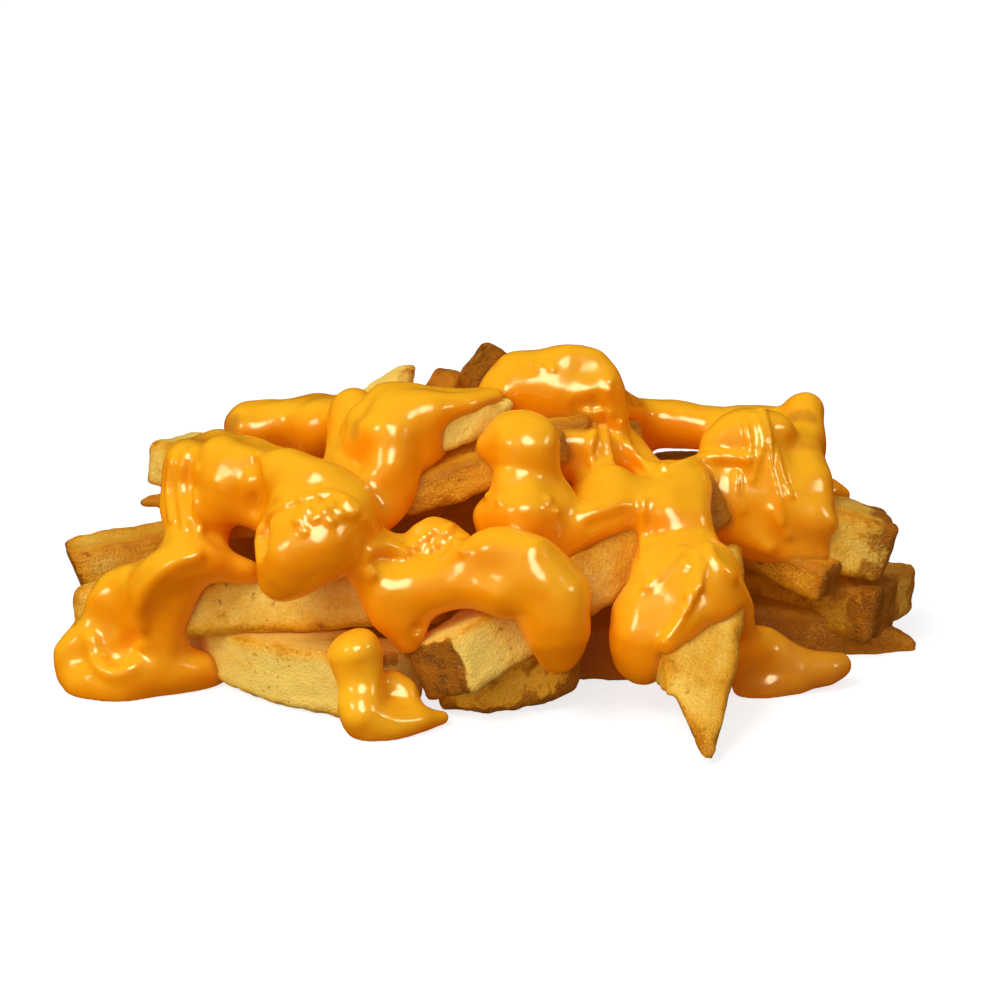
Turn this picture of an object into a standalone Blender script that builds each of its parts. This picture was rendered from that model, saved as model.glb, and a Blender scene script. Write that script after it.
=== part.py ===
"""Cheese fries: a heap of thick-cut potato fries on a flat surface, with warm cheese sauce poured over it.

Run it with: blender --background --python part.py
The fries and the mound inside them are one solid. The sauce is draped over that solid as solids of its own.
The heap stands on z = 0 with +Z up, +X to the right of its front, and its front faces -Y.
"""

import math
from typing import NamedTuple

import bmesh
import bpy
from mathutils import Matrix, Vector

MM = 0.001

# The middle of the heap's outline on the surface, which becomes the origin
CENTRE = (1.3, 3.2)

# Driving dimensions of a fry, in millimetres
FRY_WIDTH = 12.0
FRY_HEIGHT = 11.0
FRY_CORNER = 0.16
RING_STATIONS = (0.12, 0.32, 0.68, 0.88)
END_SHAPE = 4

# Driving dimensions of the sauce, in millimetres
COAT = 3.0
TOUCH_GAP = 0.3
VOXEL = 1.6
COAT_CORNER = 0.3
SAUCE_SMOOTHING = 8
SAUCE_SHARE = 0.105
BALL_SPACING = 1.5
FLOOR_SLAB = 400.0

# The mound of broken fries that fills the heap
CORE_CENTRE = (-4.0, 15.0, 0.0)
CORE_RADII = (52.0, 22.0, 32.0)
CORE_LUMP = 0.04


class End(NamedTuple):
    """How one end of a fry is cut: its share of the full section, the side it narrows to, its slant, and how far its
    top reaches past its underside."""

    size: float = 1.0
    side: float = 0.0
    rise: float = 0.0
    slant: float = 0.0
    under: float = 0.0


PLAIN = End(0.92)
TIP = End(0.25)


class Fry(NamedTuple):
    """One fry, from the middle of its tail face to the middle of its head face, in millimetres."""

    tail: tuple
    head: tuple
    width: float = FRY_WIDTH
    height: float = FRY_HEIGHT
    roll: float = 0.0
    bow: float = 0.0
    sweep: float = 0.0
    tail_end: End = PLAIN
    head_end: End = PLAIN


FRIES = {
    # Bottom layer
    "floor_left": Fry((-56, 7, 6), (-15, -23, 6.5), 15, 12.5, 0, 0, 4, End(0.3), PLAIN),
    "floor_front": Fry((-9, -16, 6), (17, -15, 6.5), 15, 12, 0, 0, 0, PLAIN, End(0.6, 0, 0.4)),
    "floor_middle": Fry((4, 0, 5.5), (46, -1, 5.5)),
    "floor_right": Fry((42, 16, 5.5), (84, 13, 3), 12, 10, 0, 0, 0, PLAIN, End(0.2, 0, -0.6)),
    # Second layer
    "front_tip": Fry(
        (35.5, -37, 5.4), (41.5, -3, 24), 14.5, 11, -14, 0, 0, End(0.74, 0, -1, 12.5, 10), End(0.8, 0, 0, 3)
    ),
    "front_long": Fry((-8.8, -27, 9.9), (42, 6, 33), 13, 11.6, 16, 0, 0, End(0.96, 0, 0, -4, -1), PLAIN),
    "left_long": Fry((-76, -3, 13.5), (-8, -12, 20), 11, 11.5, 12, 0, 0, End(0.8), PLAIN),
    "left_back": Fry((-81, 14, 15.5), (-34, 28, 22), 12, 11),
    "right_end_low": Fry((77, 9, 9), (46, 30, 12), 13, 11.5),
    "right_end_back": Fry((83, 22, 8), (55, 40, 8), 11, 11),
    # Upper layers
    "right_end_high": Fry((77, 13, 21), (42, 10, 31), 14, 13),
    "right_under": Fry((65.5, 2.5, 17), (50, 13, 22), 9, 7.5),
    "left_top": Fry((-60.5, 10, 39.5), (-26, -18, 32), 12.5, 10, 0, 3),
    "left_sliver": Fry((-69, 30, 25), (-44, 32, 25), 6, 4.5, 0, 0, 0, TIP, PLAIN),
    "back_left": Fry((-50.5, 25, 41), (-14, 30, 42), 9, 6.5),
    "tip_up": Fry((-28, 20, 40), (-14, 24, 54), 9, 7, 0, 0, 0, PLAIN, TIP),
    "pale_tip": Fry((-24, -3, 46), (5, 2, 50), 12, 8, 0, 0, 0, PLAIN, End(0.2, 0, 0.6)),
    "skin_small": Fry((-9.3, 23, 51.2), (2, 34, 38), 8, 8),
    "skin_large": Fry((-2, 16, 56.6), (14, 22, 42), 11, 10.5),
    "top": Fry((3, 12, 52.5), (21, 11, 51.5), 10, 8),
    "middle_high": Fry((-17, -6, 36.5), (14, 2, 45), 11, 7.5),
    "middle_low": Fry((-20, 9, 26), (8, 10, 31), 11, 10),
    "film_stub": Fry((13, 6, 44), (23, 11, 37.5), 8, 7),
    "bridge": Fry((26, 32, 40.5), (52, 29, 40.5), 6, 5),
    "under_bridge": Fry((33, 34, 29), (60, 34, 29), 11, 9),
    "right_knob": Fry((61, 22, 45), (61, 20, 24), 5, 5),
    "right_mound": Fry((47, 14, 41), (61, 18, 36), 10, 9),
    # Back of the heap
    "back_floor_left": Fry((-68, 31, 5.5), (-14, 43, 5.5), 12, 11, 0, 0, -3),
    "back_floor_right": Fry((-24, 50, 5.5), (38, 45, 5.5), 13, 11, 0, 0, 0, End(0.5), PLAIN),
    "back_floor_end": Fry((16, 31, 5.5), (66, 45, 5.5)),
    "back_low_left": Fry((-60, 24, 15), (-2, 43, 15.5), 12, 11, 8),
    "back_low_right": Fry((-16, 32, 16), (44, 47, 15), 12, 11, 0, 2, 0, PLAIN, End(0.6)),
    "back_low_end": Fry((68, 32, 17), (18, 28, 17), 11, 11),
    "back_middle_left": Fry((-52, 22, 30), (4, 38, 26), 12, 11, -10, 0, 2, End(0.7), PLAIN),
    "back_middle_right": Fry((-12, 44, 26), (32, 22, 26), 12, 10.5),
    "back_middle_end": Fry((62, 36, 27), (22, 20, 25), 11, 10),
    "back_high_left": Fry((-40, 36, 33), (10, 24, 38), 11, 10, 6),
    "back_high_right": Fry((-6, 36, 37), (28, 14, 40), 11, 10),
    "inside_left": Fry((-58, 6, 22), (-6, 16, 30)),
    "inside_left_high": Fry((-50, 4, 31), (-8, 2, 37)),
    "inside_top": Fry((-26, 7, 39.5), (20, 8, 44)),
    "bridge_post": Fry((30, 35, 26), (26, 31, 42), 8, 7),
    "bridge_rest": Fry((46, 40, 25), (53, 27, 41), 9, 8),
    "inside_right": Fry((6, 16, 30), (60, 18, 24)),
}


class Coat(NamedTuple):
    """Sauce that wraps a stretch of a fry, from share start to share end of its length."""

    fry: str
    start: float
    end: float
    thickness: float = COAT


COATS = (
    Coat("left_long", 0.1, 0.4, 2.5),
    Coat("left_top", 0.26, 1.0, 2.8),
    Coat("back_left", 0.0, 1.0, 2.2),
    Coat("tip_up", 0.0, 0.35, 2.0),
    Coat("pale_tip", 0.0, 0.5, 2.6),
    Coat("top", 0.0, 1.0, 3.2),
    Coat("skin_large", 0.45, 1.0, 2.5),
    Coat("middle_high", 0.75, 1.0, 3.0),
    Coat("front_long", 0.3, 0.52, 3.2),
    Coat("front_long", 0.78, 0.9, 2.5),
    Coat("bridge", 0.0, 1.0, 2.0),
    Coat("right_knob", 0.0, 1.0, 1.8),
    Coat("right_mound", 0.0, 1.0, 2.6),
    Coat("right_end_high", 0.4, 1.0, 2.2),
    Coat("film_stub", 0.0, 1.0, 1.5),
)

# Each run is a strand of sauce: x, y, z and radius of the points that it flows through
RUNS = {
    "left_ridge": ((-45, -19, 30, 4), (-51, -18, 29, 6), (-58, -16, 24, 6.5), (-62, -15, 17, 6), (-62, -14, 10, 6)),
    "left_edge": ((-54, -12, 25, 5), (-65, -10, 20, 5.5), (-70, -10, 14, 5.5), (-73, -9, 8, 6)),
    "left_shade": ((-52, -13, 17, 5), (-55, -12, 9, 6), (-53, -11, 3, 4)),
    "left_pool": ((-74, -8, 4, 6), (-69, -9, 2, 6.5), (-63, -9, 2, 6.5), (-54, -8, 2, 4.5)),
    "sheet_left": ((-56, -2, 42, 5), (-57, -4, 36, 4), (-54, -10, 31, 4), (-51, -15, 28, 4.5)),
    "sheet_mid": ((-48, -6, 41, 7), (-48, -10, 36, 7), (-50, -12, 31, 5.5), (-50, -17, 28, 5)),
    "sheet_fold": ((-37, -8, 44, 5), (-39, -16, 40, 5), (-38, -22, 37, 4.5), (-35, -26, 33, 5)),
    "bulge": ((-26, -22, 38, 8), (-29, -26, 35, 9), (-32, -27, 30, 7.5), (-34, -27, 25, 5)),
    "bulge_side": ((-33, -18, 39, 9), (-28, -20, 40, 9)),
    "band_a": ((-25, 6, 47.5, 5), (-26, 4, 44.5, 4.5), (-27, 2, 41, 4.5), (-23, -2, 39, 5)),
    "band_b": ((-16, 0, 48.5, 6), (-16, -8, 46, 6.5), (-17, -10, 42, 6)),
    "band_tail": ((-16, -10, 41, 6), (-19, -14, 36, 7), (-24, -18, 34, 6)),
    "band_pale": ((-10, -2, 49, 6), (-4, -1, 51, 4)),
    "top_left": ((4, 14, 55, 5), (3, 8, 51, 5)),
    "top_right": ((20, 12, 55.5, 5), (23, 8, 51, 4.5), (24, 8, 45, 3.5)),
    "top_face": ((8, 6, 54, 6), (18, 6, 55, 6)),
    "middle": ((12, -2, 48, 5), (6, -8, 48, 7.5), (6, -10, 42, 6), (7, -12, 36, 8), (8, -13, 32, 7)),
    "middle_neck": ((1, -4, 49, 5), (6, -8, 48, 6)),
    "yellow_a": ((21, 0, 38, 7), (16, -4, 35, 6), (25, -2, 37, 6)),
    "yellow_b": ((16, -10, 32, 6), (21, -8, 32, 5), (28, -4, 34, 5)),
    "front_run": ((35, 2, 36, 5.5), (35, -6, 33, 5.5), (35, -14, 29, 5.5), (32, -21, 25, 6.5), (27, -24, 16, 7)),
    "front_wide": ((38, -14, 27, 5.5), (43, -18, 22, 6), (46.5, -19, 17, 5), (46.5, -16, 9, 5)),
    "front_fill": ((37, -20, 24, 8), (32, -24, 19, 7)),
    "right_a": ((45, 10, 45, 6), (49, 10, 45, 6), (53, 10, 43, 6)),
    "right_left": ((41, 8, 38, 5), (45, 4, 33, 5), (47, 2, 28, 4)),
    "right_mid": ((52, 6, 38, 6), (54, 2, 31, 7), (57, 0, 26, 7), (60, 0, 24, 6)),
    "right_edge": ((61, 24, 45, 4.2), (61, 22, 40, 4.2), (61, 16, 35, 4.5), (62, 10, 31, 5), (62, 4, 25, 4.5)),
    "right_dots": ((66, 18, 31, 3.5), (68, 20, 30, 3)),
    "front_left": ((-20, -20, 28, 5), (-19, -22, 22, 6), (-15, -24, 18, 5), (-14, -24, 14, 3.5)),
    "front_ring": ((-20, -20, 29, 4), (-15, -16, 29, 3.5), (-10, -24, 26, 6), (-6, -24, 22, 6)),
    "front_top": ((-8, -14, 30, 6), (-12, -18, 28, 6)),
    "front_main": ((3, -20, 29, 8), (9, -26, 26, 9), (12, -27, 21, 8.5), (14, -26, 14, 5)),
    "front_main_left": ((-1, -28, 26, 6), (4, -28, 26, 6)),
    "ell": ((-23, -30, 15, 5), (-22, -32, 9, 4.8), (-22, -33, 3, 5), (-15, -31, 2, 3.8), (-7, -28, 1, 2)),
    "ell_back": ((-16, -22, 7, 5), (-14, -20, 3, 4)),
    "floor_strand": ((48, -10, 6, 5.5), (54, -9, 3, 5), (61, -8, 2, 4), (67, -6, 4, 3)),
    "back_left_join": ((-40, 26, 43, 4), (-30, 22, 43, 4.5), (-25, 10, 46, 5)),
    "back_top_join": ((-16, 4, 50, 5), (-4, 14, 52, 5), (6, 16, 52, 6)),
    "back_bridge_join": ((22, 14, 50, 5), (26, 24, 46, 4.5), (30, 32, 42, 4)),
    "back_sheet": ((-8, 18, 49, 7), (0, 26, 47, 7.5), (8, 30, 46, 7), (14, 28, 46, 5)),
    "back_sheet_left": ((-32, 20, 42, 6), (-22, 24, 42, 7), (-12, 28, 42, 6.5), (-2, 34, 41, 7)),
    "back_sheet_right": ((46, 20, 43, 5.5), (52, 27, 41, 6), (59, 27, 39, 5)),
    "back_pour": ((10, 20, 50, 6), (6, 33, 44, 7), (1, 42, 35, 6), (-3, 48, 25, 4.5), (-4, 50, 18, 5.5)),
    "back_pour_left": ((-34, 28, 41, 6), (-39, 33, 36, 6.5), (-45, 36, 27, 4.5), (-47, 39, 19, 5.5)),
    "back_pour_right": ((55, 27, 39, 6), (53, 34, 34, 6), (51, 40, 27, 4.5), (50, 44, 19, 5.5)),
}

# Runs that lie on their own, each a solid of its own
SEPARATE_RUNS = {"sauce_front_drip": ("ell", "ell_back")}


def clear_scene():
    """Removes whatever the start-up file holds."""
    for thing in list(bpy.data.objects):
        bpy.data.objects.remove(thing)


def new_collection(name):
    """A collection linked to the scene."""
    made = bpy.data.collections.new(name)
    bpy.context.scene.collection.children.link(made)
    return made


def material(name, colour, roughness):
    """A plain Principled material."""
    made = bpy.data.materials.new(name)
    made.use_nodes = True
    shader = made.node_tree.nodes["Principled BSDF"]
    shader.inputs["Base Color"].default_value = (*colour, 1.0)
    shader.inputs["Roughness"].default_value = roughness
    return made


def placed(x, y, z):
    """A point given in millimetres, in metres from the middle of the heap."""
    return Vector((x - CENTRE[0], y - CENTRE[1], z)) * MM


def fry_frame(fry):
    """The fry's axis, side and up directions, and its length."""
    run = Vector(fry.head) - Vector(fry.tail)
    axis = run.normalized()
    side = axis.cross(Vector((0, 0, 1))).normalized()
    up = side.cross(axis)
    turn = math.radians(fry.roll)
    turned = side * math.cos(turn) + up * math.sin(turn)
    return axis, turned, turned.cross(axis), run.length


def fry_point(fry, along, across, above, extra=0.0, longer=0.0):
    """A point of the fry in metres: along runs 0 to 1, across and above run -0.5 to 0.5.

    The fry is made thicker by extra on every side, and longer by longer at both ends.
    """
    axis, side, up, length = fry_frame(fry)
    near_tail = (1 - along) ** END_SHAPE
    near_head = along**END_SHAPE
    size = 1 - (1 - fry.tail_end.size) * near_tail - (1 - fry.head_end.size) * near_head
    lean = fry.tail_end.side * near_tail * (1 - fry.tail_end.size)
    lean += fry.head_end.side * near_head * (1 - fry.head_end.size)
    lift = fry.tail_end.rise * near_tail * (1 - fry.tail_end.size)
    lift += fry.head_end.rise * near_head * (1 - fry.head_end.size)
    slant = (fry.head_end.slant * near_head - fry.tail_end.slant * near_tail) * across
    slant += (fry.head_end.under * near_head - fry.tail_end.under * near_tail) * above
    arch = 4 * along * (1 - along)
    stretch = (2 * along - 1) * longer
    point = Vector(fry.tail)
    point += axis * (along * length + slant + stretch)
    point += side * (across * (fry.width * size + 2 * extra) + lean * fry.width / 2 + arch * fry.sweep)
    point += up * (above * (fry.height * size + 2 * extra) + lift * fry.height / 2 + arch * fry.bow)
    return placed(*point)


def fry_object(name, fry, collection, grow=0.0):
    """One fry, grown by grow on every side, as a mesh object."""
    return mesh_object(name, fry_shape(fry, 0.0, 1.0, grow, grow, FRY_CORNER, 1), collection)


def fry_shape(fry, start, end, extra, longer, corner, segments):
    """A stretch of a fry, grown by extra around it and by longer at its ends, as a bmesh."""
    shape = bmesh.new()
    bmesh.ops.create_cube(shape, size=1.0)
    long_edges = [e for e in shape.edges if abs((e.verts[0].co - e.verts[1].co).x) > 0.5]
    bmesh.ops.bevel(shape, geom=long_edges, offset=corner, segments=segments, profile=0.5, affect="EDGES")
    for station in RING_STATIONS:
        whole = shape.verts[:] + shape.edges[:] + shape.faces[:]
        bmesh.ops.bisect_plane(shape, geom=whole, plane_co=(station - 0.5, 0, 0), plane_no=(1, 0, 0))
    for vertex in shape.verts:
        along = start + (vertex.co.x + 0.5) * (end - start)
        vertex.co = fry_point(fry, along, vertex.co.y, vertex.co.z, extra, longer)
    bmesh.ops.recalc_face_normals(shape, faces=shape.faces)
    return shape


def spline_points(points, spacing):
    """Points along a Catmull-Rom curve through the given points, with the radius carried along as a fourth number."""
    ends = [points[0], *points, points[-1]]
    made = []
    for before, first, second, after in zip(ends, ends[1:], ends[2:], ends[3:]):
        steps = max(1, math.ceil(math.dist(first[:3], second[:3]) / spacing))
        for step in range(steps):
            t = step / steps
            weights = (
                -0.5 * t + t**2 - 0.5 * t**3,
                1 - 2.5 * t**2 + 1.5 * t**3,
                0.5 * t + 2 * t**2 - 1.5 * t**3,
                -0.5 * t**2 + 0.5 * t**3,
            )
            made.append([sum(w * p[i] for w, p in zip(weights, (before, first, second, after))) for i in range(4)])
    made.append(list(points[-1]))
    return made


def run_balls(shape, points):
    """Adds a strand of sauce to the shape as balls set close along its path, which the remesh fuses."""
    for x, y, z, radius in spline_points(points, BALL_SPACING):
        place = Matrix.Translation(placed(x, y, z))
        bmesh.ops.create_icosphere(shape, subdivisions=2, radius=radius * MM, matrix=place)


def mesh_object(name, shape, collection):
    """Closes the bmesh into a mesh object of the collection."""
    mesh = bpy.data.meshes.new(name)
    shape.to_mesh(mesh)
    shape.free()
    made = bpy.data.objects.new(name, mesh)
    collection.objects.link(made)
    return made


def evaluated(thing):
    """Replaces the object's mesh with what its modifiers make of it, and takes the modifiers off."""
    graph = bpy.context.evaluated_depsgraph_get()
    mesh = bpy.data.meshes.new_from_object(thing.evaluated_get(graph))
    thing.modifiers.clear()
    thing.data = mesh


def empty_out(collection):
    """Removes the collection's objects and the collection itself."""
    for thing in list(collection.objects):
        bpy.data.objects.remove(thing)
    bpy.data.collections.remove(collection)


def mound(name, collection, extra):
    """The broken fries inside the heap, as a low lumpy mound."""
    shape = bmesh.new()
    bmesh.ops.create_icosphere(shape, subdivisions=3, radius=1.0)
    for vertex in shape.verts:
        lump = 1 + CORE_LUMP * math.sin(9 * vertex.co.x) * math.cos(8 * vertex.co.y)
        radii = [radius * lump + extra for radius in CORE_RADII]
        spot = [centre + r * c for centre, r, c in zip(CORE_CENTRE, radii, vertex.co)]
        vertex.co = placed(*spot)
    return mesh_object(name, shape, collection)


def below_floor(name, collection):
    """A slab under the surface that the heap stands on, to cut it off flat."""
    shape = bmesh.new()
    bmesh.ops.create_cube(shape, size=FLOOR_SLAB * MM)
    for vertex in shape.verts:
        vertex.co.z -= FLOOR_SLAB * MM / 2
    made = mesh_object(name, shape, collection)
    made.hide_render = True
    made.display_type = "WIRE"
    return made


def boolean(thing, operation, other, solver="EXACT"):
    """A Boolean modifier on the object, with an object or a whole collection."""
    made = thing.modifiers.new(operation.lower(), "BOOLEAN")
    made.operation = operation
    made.solver = solver
    if isinstance(other, bpy.types.Collection):
        made.operand_type = "COLLECTION"
        made.collection = other
    else:
        made.object = other


def heap_object(name, collection, extra=0.0):
    """All fries fused to the mound, each grown by extra."""
    pieces = new_collection(name + "_pieces")
    for fry_name, fry in FRIES.items():
        fry_object(fry_name, fry, pieces, extra)
    made = mound(name, collection, extra)
    boolean(made, "UNION", pieces)
    evaluated(made)
    empty_out(pieces)
    keep_largest(made)
    return made


def loose_parts(shape):
    """The bmesh's faces, grouped into bodies that don't touch each other."""
    left = set(shape.faces)
    bodies = []
    while left:
        body = set()
        edge_of_search = [left.pop()]
        while edge_of_search:
            face = edge_of_search.pop()
            body.add(face)
            near = {other for edge in face.edges for other in edge.link_faces} & left
            left -= near
            edge_of_search.extend(near)
        bodies.append(body)
    return sorted(bodies, key=len)


def keep_largest(thing):
    """Drops the loose scraps that the cutting leaves, so that one body is left."""
    shape = bmesh.new()
    shape.from_mesh(thing.data)
    scraps = [face for body in loose_parts(shape)[:-1] for face in body]
    bmesh.ops.delete(shape, geom=scraps, context="FACES")
    shape.to_mesh(thing.data)
    shape.free()


def sauce_object(name, coats, runs, collection, cutters):
    """One body of sauce: coats and runs fused, smoothed, and cut to lie on the fries and on the surface."""
    shape = bmesh.new()
    for run in runs:
        run_balls(shape, RUNS[run])
    for coat in coats:
        wrap = fry_shape(FRIES[coat.fry], coat.start, coat.end, coat.thickness, 0.5 * coat.thickness, COAT_CORNER, 2)
        mesh = bpy.data.meshes.new(name)
        wrap.to_mesh(mesh)
        wrap.free()
        shape.from_mesh(mesh)
        bpy.data.meshes.remove(mesh)
    made = mesh_object(name, shape, collection)
    fuse = made.modifiers.new("fuse", "REMESH")
    fuse.mode = "VOXEL"
    fuse.voxel_size = VOXEL * MM
    soften = made.modifiers.new("soften", "SMOOTH")
    soften.iterations = SAUCE_SMOOTHING
    thin_out = made.modifiers.new("thin_out", "DECIMATE")
    thin_out.ratio = SAUCE_SHARE
    for cutter in cutters:
        boolean(made, "DIFFERENCE", cutter)
    evaluated(made)
    keep_largest(made)
    return made


def main():
    """Builds the heap and the sauce."""
    clear_scene()
    food = new_collection("cheese_fries")
    cutters = new_collection("cutters")
    potato = material("fried_potato", (0.72, 0.48, 0.16), 0.6)
    cheese = material("cheese_sauce", (0.9, 0.45, 0.05), 0.2)

    floor = below_floor("floor", cutters)
    fries = heap_object("fries", food)
    boolean(fries, "DIFFERENCE", floor)
    evaluated(fries)
    fries.data.materials.clear()
    fries.data.materials.append(potato)

    seat = heap_object("seat", cutters, TOUCH_GAP)
    seat.hide_render = True
    seat.display_type = "WIRE"

    apart = {run for runs in SEPARATE_RUNS.values() for run in runs}
    poured = [run for run in RUNS if run not in apart]
    made = [sauce_object("cheese_sauce", COATS, poured, food, (seat, floor))]
    made += [sauce_object(name, (), runs, food, (seat, floor)) for name, runs in SEPARATE_RUNS.items()]
    for sauce in made:
        sauce.data.materials.clear()
        sauce.data.materials.append(cheese)
    empty_out(cutters)


main()
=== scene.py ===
"""Cheese fries: a heap of thick-cut fries on a pale surface, with warm cheese sauce poured over them.

The tables below give places and sizes in millimetres. They are measured from a point on the surface under the
heap, and CENTRE moves them so that the middle of the heap's outline is the origin. +X is to the right of the
heap's front, +Y is to its back and +Z is up.
"""

from __future__ import annotations

import logging
import math
from dataclasses import dataclass, field
from enum import Enum
from typing import Any, Callable, Iterable, Mapping, Sequence

import bmesh
import bpy
import numpy as np
import openvdb
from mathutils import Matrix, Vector, noise


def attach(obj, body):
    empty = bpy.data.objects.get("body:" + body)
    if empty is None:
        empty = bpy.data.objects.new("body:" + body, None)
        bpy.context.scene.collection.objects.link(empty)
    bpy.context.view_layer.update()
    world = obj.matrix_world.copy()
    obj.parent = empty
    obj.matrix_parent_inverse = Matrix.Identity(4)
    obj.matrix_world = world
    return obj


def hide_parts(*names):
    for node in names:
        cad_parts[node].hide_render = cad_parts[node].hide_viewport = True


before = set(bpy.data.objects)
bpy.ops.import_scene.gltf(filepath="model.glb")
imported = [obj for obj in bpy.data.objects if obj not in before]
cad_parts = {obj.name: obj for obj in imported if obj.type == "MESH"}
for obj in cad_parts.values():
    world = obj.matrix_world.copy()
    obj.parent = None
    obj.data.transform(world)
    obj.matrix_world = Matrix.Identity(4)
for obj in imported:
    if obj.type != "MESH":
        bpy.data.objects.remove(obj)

LOG = logging.getLogger("cheese_fries")
MM = 0.001
NUMBER, VECTOR = "FLOAT", "FLOAT_VECTOR"
CENTRE = (1.3, 3.2)

Colour = tuple[float, float, float]
Point = tuple[float, float, float]
Bead = tuple[float, float, float, float]
Place = tuple[float, float]
Part = tuple[slice, ...]
Steady = tuple[tuple[str, Any], ...]


class Skin(Enum):
    """Where a fry keeps its browned skin.

    The numbers are a direction along, beside and above the fry, how much skin it has all over, and how far in
    millimetres the skin reaches from its tail and from its head.
    """

    NONE = (0.0, 0.0, 0.0, 0.0, 0.0, 0.0)
    TAIL = (-1.0, 0.0, 0.0, 0.0, 0.0, 0.0)
    TAIL_CAP = (-1.0, 0.0, 0.0, 0.0, 5.5, 0.0)
    HEAD = (1.0, 0.0, 0.0, 0.0, 0.0, 0.0)
    FRONT_LOW = (0.45, 0.45, -0.75, 0.1, 0.0, 4.0)
    BACK = (0.0, -1.0, 0.0, 0.0, 0.0, 0.0)
    TOP = (0.0, 0.0, 1.0, 0.0, 0.0, 0.0)
    MOST = (-0.7, 0.35, 0.0, 0.34, 6.0, 0.0)
    BLOTCHED = (0.0, 0.0, 0.0, 0.2, 0.0, 0.0)


@dataclass(frozen=True)
class FrontView:
    """The view from low in front of the heap, in which a place is read as 0 to 1000 across and down."""

    target: Point = (2.6, 0.0, 34.0)
    distance: float = 440.0
    elevation: float = 16.0
    lens: float = 85.0
    sensor: float = 36.0

    def eye(self) -> Vector:
        """Where the view is taken from, in millimetres."""
        tilt = math.radians(self.elevation)
        return Vector(self.target) + Vector((0.0, -math.cos(tilt), math.sin(tilt))) * self.distance

    def way(self, across: float, down: float) -> Vector:
        """The direction in which a place of the view lies."""
        tilt = math.radians(self.elevation)
        scale = self.sensor / self.lens / 1000.0
        right, rise = (across - 500.0) * scale, (500.0 - down) * scale
        ahead = Vector((0.0, math.cos(tilt), -math.sin(tilt)))
        above = Vector((0.0, math.sin(tilt), math.cos(tilt)))
        return (ahead + Vector((1.0, 0.0, 0.0)) * right + above * rise).normalized()

    def at_depth(self, across: float, down: float, depth: float) -> Vector:
        """The point of a place of the view whose y is depth."""
        eye, way = self.eye(), self.way(across, down)
        return eye + way * ((depth - eye.y) / way.y)


VIEW = FrontView()


@dataclass(frozen=True)
class End:
    """How one end of a fry is cut.

    The numbers are its share of the full section, how far to the side and up it narrows, its slant, and how
    far its top reaches past its underside.
    """

    size: float = 0.92
    side: float = 0.0
    rise: float = 0.0
    slant: float = 0.0
    under: float = 0.0


PLAIN = End()
TIP = End(0.25)


@dataclass(frozen=True)
class Fry:
    """One fry, from the middle of its tail face to the middle of its head face."""

    tail: Point
    head: Point
    width: float = 12.0
    height: float = 11.0
    roll: float = 0.0
    bow: float = 0.0
    sweep: float = 0.0
    tail_end: End = PLAIN
    head_end: End = PLAIN
    tone: float = 0.4
    skin: Skin = Skin.NONE
    drift: float = 0.0

    def axes(self) -> tuple[Vector, Vector, Vector, float]:
        """The directions along, beside and above the fry, and its length."""
        run = Vector(self.head) - Vector(self.tail)
        axis = run.normalized()
        level = axis.cross(Vector((0, 0, 1))).normalized()
        above = level.cross(axis)
        turn = math.radians(self.roll)
        side = level * math.cos(turn) + above * math.sin(turn)
        return axis, side, side.cross(axis), run.length


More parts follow.
